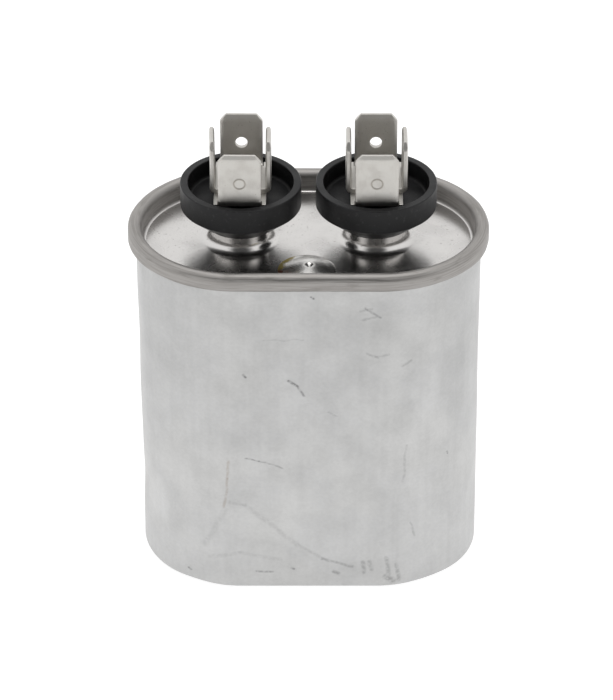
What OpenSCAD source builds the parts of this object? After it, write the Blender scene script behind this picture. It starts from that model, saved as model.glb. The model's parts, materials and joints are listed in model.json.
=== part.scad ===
// Motor run capacitor: an oval, oil-filled aluminium can closed by a double-seamed
// tinplate lid, with two four-way quick-connect terminals in insulating cups.
// Millimetres. The origin is the centre of the flat bottom, +Z is up, +X runs along
// the oval and -Y is the side with the filling hole.
//
// Every oval piece is a stadium: its section stands at a distance r from the straight
// line that joins the two end centres.

/* [Can] */
// Overall length of the can body along X
can_length = 51.2; // [49.2:0.1:54.2]
// Overall depth of the can body along Y
can_depth = 30; // [29:0.1:32]
// Height of the rolled rim above the bottom
seam_top_z = 56.5; // [50:0.25:80]
// Thickness of the drawn wall
can_wall = 0.4; // [0.3:0.05:0.5]
// Thickness of the flat bottom
can_base = 0.4; // [0.3:0.05:0.5]
// Outer radius between wall and bottom
can_corner_r = 0.7; // [0.6:0.1:1.5]

/* [Lid and double seam] */
// Thickness of the lid sheet
lid_sheet = 0.35; // [0.25:0.05:0.4]
// Clearance between neighbouring layers of the seam
seam_gap = 0.1; // [0.05:0.01:0.12]
// Clearance between the can and the wall of the lid inside it
chuck_gap = 0.03; // [0.02:0.01:0.1]
// Height of the rolled seam
seam_height = 3; // [2.6:0.1:3.4]
// Depth of the lid panel below the rim
panel_depth = 3.2; // [3:0.1:3.6]
// Inner radius at the foot of the sunk panel
foot_r = 0.6; // [0.4:0.1:0.8]
// Room for sealing compound above the body hook
compound_height = 0.24; // [0.15:0.01:0.3]

/* [Terminal bosses] */
// Outer radius of the boss neck
boss_r = 4.2; // [4.1:0.05:4.5]
// Height of the boss above the lid panel
boss_height = 3.15; // [2.8:0.05:3.5]
// Radius of the flare where the boss grows out of the panel
boss_flare_r = 0.85; // [0.7:0.05:1.1]
// Width of the struck ledge between flare and neck
boss_ledge = 0.08; // [0.04:0.01:0.12]
// Outer radius at the top of the boss
boss_top_r = 0.7; // [0.5:0.05:0.8]

/* [Insulating cups] */
// Clearance between the two cups
cup_gap = 2.1; // [1.6:0.05:3.2]
// Clearance between the cup wall and the ears of the tabs
cup_clearance = 0.464; // [0.2:0.002:0.8]
// Height of the cup wall outside
cup_height = 3.7; // [3.3:0.1:4.2]
// Height of the tapered underside of a cup
cup_taper = 3.1; // [2:0.1:3.5]
// Radius at the foot of the taper, where the cup sits on its boss
cup_foot_r = 5.3; // [4.6:0.1:6]
// Thickness of the cup wall at the rim
cup_wall = 1.15; // [0.9:0.05:1.3]
// Height of the cup floor above the taper
cup_floor = 0.9; // [0.7:0.1:1.2]
// Radius between the floor and the wall, inside
cup_fillet_r = 0.55; // [0.3:0.05:0.8]
// Radius of the hub that carries the tab strips
hub_r = 3.4; // [3:0.1:3.7]
// Height of the hub above the cup floor
hub_height = 1.7; // [1.5:0.1:2]
// Radius of the spigot that passes through the lid
spigot_r = 2.5; // [2.2:0.1:2.7]
// Clearance between the end of the spigot and the inner washer
spigot_end_gap = 0.55; // [0.3:0.05:1]

/* [Tabs] */
// Width of a tab
tab_width = 6.35; // [6:0.05:6.4]
// Thickness of the tab strip
tab_thickness = 0.81; // [0.75:0.01:0.9]
// Height of the tab tips above the cup floor
tab_tip_height = 10.8; // [10:0.1:12]
// Distance of the front and rear tabs from the terminal axis
front_tab_y = 6.2; // [6:0.05:6.5]
// Distance of the side tabs from the terminal axis
side_tab_x = 4.15; // [4.05:0.05:4.3]
// Outer bend radius of the front and rear tabs
front_bend_r = 1.5; // [1.3:0.1:1.7]
// Outer bend radius of the side tabs
side_bend_r = 0.95; // [0.9:0.05:1.2]
// Width of the ear beside each front and rear tab
ear_width = 0.68; // [0.4:0.02:0.75]
// Set-back of an ear's end from the outer face of its tab
ear_setback = 0.305; // [0.1:0.005:0.6]
// Width of the corner cut at a tab's tip
tip_cut_x = 0.9; // [0.6:0.05:1.1]
// Height of the corner cut at a tab's tip
tip_cut_z = 1.1; // [0.7:0.05:1.3]
// Height of the bevel at a tab's tip
tip_bevel = 0.7; // [0.5:0.05:1.3]
// Thickness left at a tab's tip
tip_thickness = 0.4; // [0.3:0.05:0.6]
// Width of the bevel along a tab's long edges
edge_bevel = 0.45; // [0.3:0.05:0.6]
// Thickness left at a tab's long edges
edge_thickness = 0.5; // [0.4:0.05:0.6]
// Radius of the detent hole and the detent dimple
detent_r = 0.9; // [0.8:0.05:1]
// Distance of the detent below the tip
detent_drop = 4.7; // [4.3:0.1:5]
// Depth of the stamped ring round a dimple
dimple_depth = 0.12; // [0.08:0.01:0.2]
// Width of the stamped ring round a dimple
dimple_ring = 0.3; // [0.2:0.05:0.4]

/* [Rivet, seal and lug] */
// Radius of the rivet shank
rivet_r = 1.2; // [1:0.05:1.3]
// Clearance round the rivet shank
rivet_gap = 0.05; // [0.03:0.01:0.1]
// Radius of the rivet head
rivet_head_r = 2; // [1.8:0.1:2.2]
// Height of the rivet head
rivet_head = 0.85; // [0.6:0.05:1]
// Thickness of the sealing bushing
bushing_height = 2.1; // [2:0.05:2.3]
// Clearance round the bushing, the washer and the spigot
bushing_gap = 0.08; // [0.05:0.01:0.12]
// Thickness of the inner insulating washer
washer_height = 0.8; // [0.6:0.1:1]
// Thickness of the lug strip
lug_sheet = 0.4; // [0.3:0.05:0.5]
// Radius of the lug eye
lug_r = 2.6; // [2.4:0.1:2.8]
// Width of the lug tail and of the leads
strip_width = 3; // [2:0.1:3.1]
// Clearance between the lug tail and the neck of the boss
tail_gap = 0.5; // [0.4:0.05:0.7]

/* [Filling hole] */
// Clearance between the solder dome and the foot of the panel
solder_gap = 0.22; // [0.1:0.02:0.7]
// Offset of the filling hole to the left of the middle
fill_x = 0.25; // [0:0.05:1]
// Radius of the filling hole
fill_hole_r = 0.8; // [0.5:0.1:1.2]
// Radius of the solder dome
solder_r = 4.3; // [3.5:0.1:4.4]
// Height of the solder dome
solder_height = 0.95; // [0.7:0.05:1.3]
// Radius of the blow hole in the dome
blow_hole_r = 0.35; // [0.2:0.05:0.5]

/* [Inside] */
// Thickness of the wrap between the roll and the can
liner_wall = 0.3; // [0.2:0.05:0.4]
// Clearance between the wrap and the can
liner_gap = 0.1; // [0.05:0.01:0.15]
// Thickness of the insulating pad on the bottom
pad_height = 1.3; // [1:0.1:2]
// Clearance between the wrap and the lead beside the roll
lead_gap = 0.07; // [0.05:0.01:0.2]
// Clearance between the roll and the lead beside it
roll_gap = 0.3; // [0.2:0.05:0.6]
// Height of the space above the roll, for the leads
head_room = 3.3; // [3:0.1:8]
// Width of the flat slot that the winding mandrel leaves
mandrel_slot = 0.5; // [0.3:0.1:1]
// Thickness of the sprayed metal ends
spray_height = 0.5; // [0.3:0.1:0.8]
// Set-back of the sprayed metal from the edge of the roll
spray_setback = 0.2; // [0.1:0.05:0.4]
// Thickness of the lead strips
lead_sheet = 0.3; // [0.2:0.05:0.35]
// Length of a lead's foot on the sprayed metal
lead_foot = 5; // [4:0.5:6]
// Lap of a lead on its lug tail
lead_lap = 1.2; // [0.8:0.1:1.3]
// Height above the roll at which the lower lead crosses to the wall
crossing_height = 0.8; // [0.5:0.1:1]
// Thickness of the interrupter plate
interrupter_sheet = 1.1; // [0.9:0.1:1.3]
// Depth of the space between interrupter plate and lid
interrupter_gap = 1.9; // [1.7:0.1:2.2]
// Width of the rim of the interrupter plate
interrupter_rim = 0.9; // [0.6:0.1:1.2]
// Clearance of the plate, the wrap and the leads from what lies over or round them
plate_gap = 0.3; // [0.1:0.05:0.4]

/* [Hidden] */

$fn = 64;
// Overshoot of cuts past the faces that they open
cut = 1;
LEFT = -1;
RIGHT = 1;

// Oval: end radius, and half the distance between the end centres
can_r = can_depth / 2;
half_straight = can_length / 2 - can_r;
can_inner_r = can_r - can_wall;
can_inner_corner_r = can_corner_r - can_base;

// Seam layers, from the inside of the lid to the outside of the seam
chuck_outer_r = can_inner_r - chuck_gap;
chuck_inner_r = chuck_outer_r - lid_sheet;
cover_hook_r = can_r + seam_gap;
body_hook_r = cover_hook_r + lid_sheet + seam_gap;
seaming_wall_r = body_hook_r + can_wall + seam_gap;
seam_outer_r = seaming_wall_r + lid_sheet;

// Centres of the turns in the seam, as distance and height
crest_mid = (chuck_inner_r + seam_outer_r) / 2;
crest_out = (seam_outer_r - chuck_inner_r) / 2;
crest_z = seam_top_z - crest_out;
body_turn_mid = (can_inner_r + body_hook_r + can_wall) / 2;
body_turn_out = (body_hook_r + can_wall - can_inner_r) / 2;
body_turn_z = crest_z - compound_height;
cover_turn_mid = (cover_hook_r + seam_outer_r) / 2;
cover_turn_out = (seam_outer_r - cover_hook_r) / 2;
cover_turn_z = seam_top_z - seam_height + cover_turn_out;

// Lid panel and bosses
panel_z = seam_top_z - panel_depth;
panel_under_z = panel_z - lid_sheet;
foot_mid = chuck_inner_r - foot_r;
boss_top_z = panel_z + boss_height;
flare_mid = boss_r + boss_ledge + boss_flare_r;
boss_sheet_r = flare_mid + lid_sheet;

// Cup
cup_wall_z = boss_top_z + cup_taper;
cup_floor_z = cup_wall_z + cup_floor;
hub_top_z = cup_floor_z + hub_height;
bore_r = rivet_r + rivet_gap;
spigot_length = lid_sheet + bushing_height - spigot_end_gap;

// Tabs
tab_tip_z = cup_floor_z + tab_tip_height;
side_strip_z = hub_top_z + tab_thickness;
strip_top_z = side_strip_z + tab_thickness;
front_strip_width = tab_width + 2 * ear_width;
ear_y = front_tab_y + tab_thickness / 2 - ear_setback;
// Slit between a tab's bend and the ear beside it
ear_slit = 0.08;

// The cup clears the corners of the ears, and the terminals stand one cup apart
ear_corner_r = sqrt(ear_y * ear_y + front_strip_width * front_strip_width / 4);
cup_inner_r = ear_corner_r + cup_clearance;
cup_r = cup_inner_r + cup_wall;
terminal_x = cup_r + cup_gap / 2;

// Filling hole
fill_y = foot_mid - solder_gap - solder_r;

// Seal stack inside a boss, downwards
seal_top_z = boss_top_z - lid_sheet;
seal_r = boss_r - lid_sheet - bushing_gap;
washer_top_z = seal_top_z - bushing_height;
lug_top_z = washer_top_z - washer_height;
lug_under_z = lug_top_z - lug_sheet;
// Inner bend radius of the lug and the leads
strip_bend = 0.3;
// Outer face of the lug tail
tail_y = boss_r - lid_sheet - tail_gap;

// Wrap, and the lead beside the roll at its corner that is nearest to the wrap
liner_outer_r = can_inner_r - liner_gap;
liner_inner_r = liner_outer_r - liner_wall;
liner_foot_z = can_base + can_inner_corner_r / 2;
liner_top_z = panel_under_z - plate_gap;
lead_overhang = max(0, terminal_x + strip_width / 2 - half_straight);
lead_wall_y = sqrt(liner_inner_r * liner_inner_r - lead_overhang * lead_overhang) - lead_gap;

// Interrupter plate, and the roll in the height that is left below it
interrupter_top_z = panel_under_z - interrupter_gap;
interrupter_under_z = interrupter_top_z - interrupter_sheet;
interrupter_r = foot_mid - plate_gap;
upper_spray_z = interrupter_under_z - head_room;
roll_top_z = upper_spray_z - spray_height;
pad_top_z = can_base + pad_height;
roll_foot_z = pad_top_z + spray_height;
roll_r = lead_wall_y - lead_sheet - roll_gap;
spray_r = roll_r - spray_setback;
pad_r = can_inner_r - can_inner_corner_r - liner_gap;

// Ends of the lug tails and the leads
lead_top_z = interrupter_under_z - plate_gap;
tail_foot_z = lead_top_z - lead_lap;
crossing_z = upper_spray_z + crossing_height;
// Clearance of a slot or pocket round the strip in it
strip_gap = 0.2;

// Disc, or the ring between two radii
module turn_ring(inner_r, outer_r) {
    difference() {
        circle(r = outer_r);
        if (inner_r > 0)
            circle(r = inner_r);
    }
}

// Upper or lower half of such a ring: the turn of a folded sheet
module half_turn(inner_r, outer_r, upper = true) {
    intersection() {
        turn_ring(inner_r, outer_r);
        translate([-outer_r - cut, upper ? 0 : -outer_r - cut])
            square([2 * (outer_r + cut), outer_r + cut]);
    }
}

// Quarter of such a ring, in the quadrant given by two signs
module quarter_turn(inner_r, outer_r, sign_x, sign_y) {
    reach = outer_r + cut;
    intersection() {
        turn_ring(inner_r, outer_r);
        translate([sign_x > 0 ? 0 : -reach, sign_y > 0 ? 0 : -reach])
            square(reach);
    }
}

// Carries a section, drawn as distance and height, once round the oval
module round_oval(span = half_straight) {
    for (side = [LEFT, RIGHT]) {
        translate([side * span, 0, 0])
            rotate([0, 0, -side * 90])
                rotate_extrude(angle = 180)
                    children();
        rotate([90, 0, side * 90])
            translate([0, 0, -span])
                linear_extrude(height = 2 * span)
                    children();
    }
}

// Solid oval plate of end radius r between two heights
module oval_plate(r, z_low, z_high) {
    round_oval()
        translate([0, z_low])
            square([r, z_high - z_low]);
}

// Places a piece on the axis of the left or the right terminal
module at_terminal(side) {
    translate([side * terminal_x, 0, 0])
        children();
}

// Section drawn in the Y-Z plane, carried along X over a centred width
module across_x(width) {
    rotate([90, 0, 90])
        translate([0, 0, -width / 2])
            linear_extrude(height = width)
                children();
}

// ---------------------------------------------------------------- can

// Section of the drawn cup: flat bottom, corner, wall and body hook
module can_section() {
    // Wall, above the bottom corner
    translate([can_inner_r, can_corner_r])
        square([can_wall, body_turn_z - can_corner_r]);
    // Bottom corner, thicker towards the flat bottom
    difference() {
        translate([can_r - can_corner_r, can_corner_r])
            quarter_turn(0, can_corner_r, 1, -1);
        translate([can_inner_r - can_inner_corner_r, can_corner_r])
            circle(r = can_inner_corner_r);
        translate([0, can_base])
            square([can_inner_r - can_inner_corner_r, can_corner_r]);
    }
    // Flat bottom
    square([can_r - can_corner_r, can_base]);
    // Body hook: the wall turned outwards and down
    translate([body_turn_mid, body_turn_z])
        half_turn(body_turn_out - can_wall, body_turn_out);
    translate([body_hook_r, cover_turn_z])
        square([can_wall, body_turn_z - cover_turn_z]);
}

module can() {
    color([0.77, 0.77, 0.76])
        round_oval()
            can_section();
}

// ---------------------------------------------------------------- lid and seam

module lid_section() {
    // Sunk panel and its foot
    translate([0, panel_under_z])
        square([foot_mid, lid_sheet]);
    translate([foot_mid, panel_z + foot_r])
        quarter_turn(foot_r, foot_r + lid_sheet, 1, -1);
    // Chuck wall, crest and seaming wall
    translate([chuck_inner_r, panel_z + foot_r])
        square([lid_sheet, crest_z - panel_z - foot_r]);
    translate([crest_mid, crest_z])
        half_turn(crest_out - lid_sheet, crest_out);
    translate([seaming_wall_r, cover_turn_z])
        square([lid_sheet, crest_z - cover_turn_z]);
    // Cover hook: turned in and up behind the body hook
    translate([cover_turn_mid, cover_turn_z])
        half_turn(cover_turn_out - lid_sheet, cover_turn_out, upper = false);
    translate([cover_hook_r, cover_turn_z])
        square([lid_sheet, body_turn_z - cover_turn_z]);
}

// One drawn boss: a flared neck with a closed top, open for the cup's spigot
module boss_section() {
    spigot_hole_r = spigot_r + bushing_gap;
    // Sheet round the flare
    translate([flare_mid, panel_under_z])
        square([boss_sheet_r - flare_mid, lid_sheet]);
    // Flare
    translate([flare_mid, panel_z + boss_flare_r])
        quarter_turn(boss_flare_r, boss_flare_r + lid_sheet, -1, -1);
    // Neck
    translate([boss_r - lid_sheet, panel_z + boss_flare_r])
        square([lid_sheet, boss_height - boss_flare_r - boss_top_r]);
    // Ledge that joins flare and neck
    translate([boss_r - lid_sheet, panel_z + boss_flare_r])
        square([lid_sheet + boss_ledge, boss_ledge]);
    // Top turn and top
    translate([boss_r - boss_top_r, boss_top_z - boss_top_r])
        quarter_turn(boss_top_r - lid_sheet, boss_top_r, 1, 1);
    translate([spigot_hole_r, seal_top_z])
        square([boss_r - boss_top_r - spigot_hole_r, lid_sheet]);
}

module lid() {
    color([0.84, 0.83, 0.81])
    union() {
        difference() {
            round_oval()
                lid_section();
            for (side = [LEFT, RIGHT])
                at_terminal(side)
                    translate([0, 0, panel_under_z - cut])
                        cylinder(r = boss_sheet_r, h = lid_sheet + 2 * cut);
            translate([-fill_x, -fill_y, panel_under_z - cut])
                cylinder(r = fill_hole_r, h = lid_sheet + 2 * cut);
        }
        for (side = [LEFT, RIGHT])
            at_terminal(side)
                rotate_extrude()
                    boss_section();
    }
}

// Fills the crest of the seam above the body hook
module seam_compound() {
    compound_gap = 0.02;
    color([0.25, 0.25, 0.27])
        round_oval()
            difference() {
                translate([crest_mid, crest_z])
                    half_turn(0, crest_out - lid_sheet - compound_gap);
                translate([body_turn_mid, body_turn_z])
                    circle(r = body_turn_out + compound_gap);
            }
}

// Low dome with a blow hole, and the plug below it in the filling hole
module fill_hole_solder() {
    plug_r = fill_hole_r - 0.02;
    edge = 0.12;
    cap = solder_height - edge;
    dome_r = (solder_r * solder_r + cap * cap) / (2 * cap);
    color([0.78, 0.77, 0.73])
        translate([-fill_x, -fill_y, panel_z])
            union() {
                difference() {
                    rotate_extrude()
                        intersection() {
                            square([solder_r, solder_height]);
                            translate([0, solder_height - dome_r])
                                circle(r = dome_r, $fn = 360);
                        }
                    translate([blow_hole_r, blow_hole_r, solder_height])
                        sphere(r = blow_hole_r);
                }
                translate([0, 0, -lid_sheet])
                    cylinder(r = plug_r, h = lid_sheet);
            }
}

// ---------------------------------------------------------------- terminals

module insulating_cup() {
    color([0.13, 0.13, 0.135])
        rotate_extrude()
            difference() {
                union() {
                    translate([0, cup_wall_z])
                        square([cup_r, cup_height]);
                    // Underside, tapered down to its seat on the boss
                    polygon([
                        [0, boss_top_z], [cup_foot_r, boss_top_z],
                        [cup_r, cup_wall_z], [0, cup_wall_z]
                    ]);
                    translate([0, boss_top_z - spigot_length])
                        square([spigot_r, spigot_length]);
                }
                // Trough between hub and wall, with a rounded outer corner
                difference() {
                    translate([hub_r, cup_floor_z])
                        square([cup_inner_r - hub_r, cup_height]);
                    translate([cup_inner_r - cup_fillet_r, cup_floor_z])
                        difference() {
                            square(cup_fillet_r);
                            translate([0, cup_fillet_r])
                                circle(r = cup_fillet_r);
                        }
                }
                // Space above the hub
                translate([0, hub_top_z])
                    square([hub_r, cup_height]);
                // Bore for the rivet
                translate([0, boss_top_z - spigot_length - cut])
                    square([bore_r, spigot_length + cup_taper + cup_height + 2 * cut]);
            }
}

// Upright blade on the end of its bend: corner cuts and bevels at the tip, bevelled
// long edges, and a detent hole or a stamped detent ring
module blade(height, pierced) {
    half_w = tab_width / 2;
    half_t = tab_thickness / 2;
    difference() {
        intersection() {
            // Front view
            rotate([90, 0, 0])
                translate([0, 0, -tab_thickness])
                    linear_extrude(height = 2 * tab_thickness)
                        polygon([
                            [-half_w, 0], [half_w, 0],
                            [half_w, height - tip_cut_z], [half_w - tip_cut_x, height],
                            [-half_w + tip_cut_x, height], [-half_w, height - tip_cut_z]
                        ]);
            // Side view
            across_x(tab_width)
                polygon([
                    [-half_t, 0], [half_t, 0],
                    [half_t, height - tip_bevel], [tip_thickness / 2, height],
                    [-tip_thickness / 2, height], [-half_t, height - tip_bevel]
                ]);
            // Plan
            linear_extrude(height = height)
                polygon([
                    [-half_w + edge_bevel, -half_t], [half_w - edge_bevel, -half_t],
                    [half_w, -edge_thickness / 2], [half_w, edge_thickness / 2],
                    [half_w - edge_bevel, half_t], [-half_w + edge_bevel, half_t],
                    [-half_w, edge_thickness / 2], [-half_w, -edge_thickness / 2]
                ]);
        }
        translate([0, 0, height - detent_drop])
            rotate([90, 0, 0])
                if (pierced)
                    cylinder(r = detent_r, h = 2 * tab_thickness, center = true);
                else
                    translate([0, 0, half_t - dimple_depth])
                        difference() {
                            cylinder(r = detent_r, h = 2 * dimple_depth);
                            translate([0, 0, -cut])
                                cylinder(r = detent_r - dimple_ring, h = 2 * cut);
                        }
    }
}

// Strip along Y with a blade folded up at each end. The blade at -Y has the ring,
// the blade at +Y has the hole.
module folded_strip(blade_y, bend_r, width, under_z) {
    flat_y = blade_y + tab_thickness / 2 - bend_r;
    blade_z = under_z + bend_r;
    translate([-width / 2, -flat_y, under_z])
        cube([width, 2 * flat_y, tab_thickness]);
    for (side = [LEFT, RIGHT])
        rotate([0, 0, side == LEFT ? 0 : 180]) {
            across_x(tab_width)
                translate([-flat_y, blade_z])
                    quarter_turn(bend_r - tab_thickness, bend_r, -1, -1);
            translate([0, -blade_y, blade_z])
                blade(tab_tip_z - blade_z, pierced = side == RIGHT);
        }
}

// Lower strip, with the front and the rear tab and an ear beside each bend
module front_rear_tabs() {
    flat_y = front_tab_y + tab_thickness / 2 - front_bend_r;
    color([0.7, 0.69, 0.66])
        difference() {
            union() {
                folded_strip(front_tab_y, front_bend_r, front_strip_width, hub_top_z);
                for (side = [LEFT, RIGHT], end = [LEFT, RIGHT])
                    translate([side * (front_strip_width - ear_width + ear_slit) / 2,
                               end * (flat_y + ear_y) / 2,
                               hub_top_z + tab_thickness / 2])
                        cube([ear_width - ear_slit, ear_y - flat_y, tab_thickness],
                             center = true);
            }
            translate([0, 0, hub_top_z - cut])
                cylinder(r = bore_r, h = tab_thickness + 2 * cut);
        }
}

// Upper strip, across the lower one, with the two side tabs
module side_tabs() {
    color([0.68, 0.67, 0.64])
        difference() {
            rotate([0, 0, 90])
                folded_strip(side_tab_x, side_bend_r, tab_width, side_strip_z);
            translate([0, 0, side_strip_z - cut])
                cylinder(r = bore_r, h = tab_thickness + 2 * cut);
        }
}

// Rivet with a low round head on the strips and an upset tail under the lug
module rivet() {
    tail_r = 1.6 * rivet_r;
    tail_height = 0.6;
    head_curve_r = (rivet_head_r * rivet_head_r + rivet_head * rivet_head)
                   / (2 * rivet_head);
    color([0.72, 0.71, 0.68])
        rotate_extrude() {
            translate([0, lug_under_z - tail_height])
                square([tail_r, tail_height]);
            translate([0, lug_under_z])
                square([rivet_r, strip_top_z - lug_under_z]);
            translate([0, strip_top_z])
                intersection() {
                    square([rivet_head_r, rivet_head]);
                    translate([0, rivet_head - head_curve_r])
                        circle(r = head_curve_r, $fn = 180);
                }
        }
}

// Rubber ring round the spigot, chamfered where the top of the boss turns
module sealing_bushing() {
    inner_r = spigot_r + bushing_gap;
    chamfer = boss_top_r - lid_sheet;
    color([0.2, 0.19, 0.19])
        rotate_extrude()
            polygon([
                [inner_r, washer_top_z], [seal_r, washer_top_z],
                [seal_r, seal_top_z - chamfer], [seal_r - chamfer, seal_top_z],
                [inner_r, seal_top_z]
            ]);
}

// Insulating washer between the bushing and the lug
module inner_washer() {
    color([0.45, 0.3, 0.2])
        rotate_extrude()
            translate([bore_r, lug_top_z])
                square([seal_r - bore_r, washer_height]);
}

// Eye round the rivet, and a tail that turns down through the interrupter plate
module inner_lug() {
    turn_r = strip_bend + lug_sheet;
    turn_y = tail_y - turn_r;
    color([0.75, 0.7, 0.6])
        difference() {
            union() {
                translate([0, 0, lug_under_z])
                    cylinder(r = lug_r, h = lug_sheet);
                across_x(strip_width) {
                    translate([0, lug_under_z])
                        square([turn_y, lug_sheet]);
                    translate([turn_y, lug_top_z - turn_r])
                        quarter_turn(strip_bend, turn_r, 1, 1);
                    translate([tail_y - lug_sheet, tail_foot_z])
                        square([lug_sheet, lug_top_z - turn_r - tail_foot_z]);
                }
            }
            translate([0, 0, lug_under_z - cut])
                cylinder(r = bore_r, h = lug_sheet + 2 * cut);
        }
}

// ---------------------------------------------------------------- inside

// Strip lead from the left lug down to the top of the roll
module upper_lead() {
    turn_r = strip_bend + lead_sheet;
    turn_z = upper_spray_z + turn_r;
    color([0.75, 0.72, 0.66])
        at_terminal(LEFT)
            across_x(strip_width) {
                translate([tail_y, turn_z])
                    square([lead_sheet, lead_top_z - turn_z]);
                translate([tail_y + turn_r, turn_z])
                    quarter_turn(strip_bend, turn_r, -1, -1);
                translate([tail_y + turn_r, upper_spray_z])
                    square([lead_foot, lead_sheet]);
            }
}

// Strip lead from the right lug, across and down beside the roll to its lower end
module lower_lead() {
    turn_r = strip_bend + lead_sheet;
    start_z = crossing_z + turn_r;
    wall_turn_y = lead_wall_y - turn_r;
    upper_turn_z = crossing_z + lead_sheet - turn_r;
    foot_z = pad_top_z - lead_sheet;
    lower_turn_z = foot_z + turn_r;
    color([0.75, 0.72, 0.66])
        at_terminal(RIGHT)
            across_x(strip_width) {
                translate([tail_y, start_z])
                    square([lead_sheet, lead_top_z - start_z]);
                translate([tail_y + turn_r, start_z])
                    quarter_turn(strip_bend, turn_r, -1, -1);
                translate([tail_y + turn_r, crossing_z])
                    square([wall_turn_y - tail_y - turn_r, lead_sheet]);
                translate([wall_turn_y, upper_turn_z])
                    quarter_turn(strip_bend, turn_r, 1, 1);
                translate([lead_wall_y - lead_sheet, lower_turn_z])
                    square([lead_sheet, upper_turn_z - lower_turn_z]);
                translate([wall_turn_y, lower_turn_z])
                    quarter_turn(strip_bend, turn_r, 1, -1);
                translate([wall_turn_y - lead_foot, foot_z])
                    square([lead_foot, lead_sheet]);
            }
}

// Shallow tray under the lid, with a slot for each lug tail and a hole for the oil
module interrupter_plate() {
    slot_y = tail_y - lug_sheet - strip_gap;
    slot_depth = lug_sheet + lead_sheet + 2 * strip_gap;
    color([0.85, 0.83, 0.75])
        difference() {
            round_oval()
                union() {
                    translate([0, interrupter_under_z])
                        square([interrupter_r, interrupter_sheet]);
                    translate([interrupter_r - interrupter_rim, interrupter_top_z])
                        square([interrupter_rim, interrupter_gap]);
                }
            for (side = [LEFT, RIGHT])
                at_terminal(side)
                    translate([-strip_width / 2 - strip_gap, slot_y, interrupter_under_z - cut])
                        cube([strip_width + 2 * strip_gap, slot_depth,
                              interrupter_sheet + 2 * cut]);
            translate([-fill_x, -fill_y, interrupter_under_z - cut])
                cylinder(r = 2 * fill_hole_r, h = interrupter_sheet + 2 * cut);
        }
}

// Flattened film roll, with the slot that the winding mandrel leaves
module winding() {
    color([0.72, 0.74, 0.78])
        difference() {
            oval_plate(roll_r, roll_foot_z, roll_top_z);
            oval_plate(mandrel_slot / 2, roll_foot_z - cut, roll_top_z + cut);
        }
}

module upper_end_spray() {
    color([0.6, 0.6, 0.62])
        oval_plate(spray_r, roll_top_z, upper_spray_z);
}

module lower_end_spray() {
    color([0.6, 0.6, 0.62])
        oval_plate(spray_r, pad_top_z, roll_foot_z);
}

module liner_sleeve() {
    color([0.86, 0.84, 0.78])
        round_oval()
            translate([liner_inner_r, liner_foot_z])
                square([liner_wall, liner_top_z - liner_foot_z]);
}

// Pad on the bottom, with a pocket for the lower lead's foot
module base_pad() {
    pocket_y = lead_wall_y - strip_bend - lead_sheet - lead_foot - strip_gap;
    color([0.8, 0.74, 0.6])
        difference() {
            oval_plate(pad_r, can_base, pad_top_z);
            at_terminal(RIGHT)
                translate([-strip_width / 2 - strip_gap, pocket_y,
                           pad_top_z - lead_sheet - 0.02])
                    cube([strip_width + 2 * strip_gap, can_r, lead_sheet + cut]);
        }
}

can();
lid();
seam_compound();
fill_hole_solder();
at_terminal(LEFT) insulating_cup();  // left_insulating_cup
at_terminal(RIGHT) insulating_cup();  // right_insulating_cup
at_terminal(LEFT) front_rear_tabs();  // left_front_rear_tabs
at_terminal(RIGHT) front_rear_tabs();  // right_front_rear_tabs
at_terminal(LEFT) side_tabs();  // left_side_tabs
at_terminal(RIGHT) side_tabs();  // right_side_tabs
at_terminal(LEFT) rivet();  // left_rivet
at_terminal(RIGHT) rivet();  // right_rivet
at_terminal(LEFT) sealing_bushing();  // left_sealing_bushing
at_terminal(RIGHT) sealing_bushing();  // right_sealing_bushing
at_terminal(LEFT) inner_washer();  // left_inner_washer
at_terminal(RIGHT) inner_washer();  // right_inner_washer
at_terminal(LEFT) inner_lug();  // left_inner_lug
at_terminal(RIGHT) inner_lug();  // right_inner_lug
upper_lead();
lower_lead();
interrupter_plate();
winding();
upper_end_spray();
lower_end_spray();
liner_sleeve();
base_pad();
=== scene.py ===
"""Motor run capacitor: an oval aluminium can, a double-seamed tinplate lid and two
four-way push-on terminals in insulating cups.

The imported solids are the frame. The pieces that show are built here as surfaces: sections
carried round an oval or a circle, and flat blanks folded into terminal strips. Every piece,
in view or sealed inside, gets a finish made of shader nodes. All lengths are in metres.
"""

import json
import logging
import math
from collections.abc import Callable, Iterable
from dataclasses import dataclass, field
from enum import Enum
from typing import ClassVar

import bpy
import numpy as np
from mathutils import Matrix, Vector
from mathutils.geometry import delaunay_2d_cdt


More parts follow.
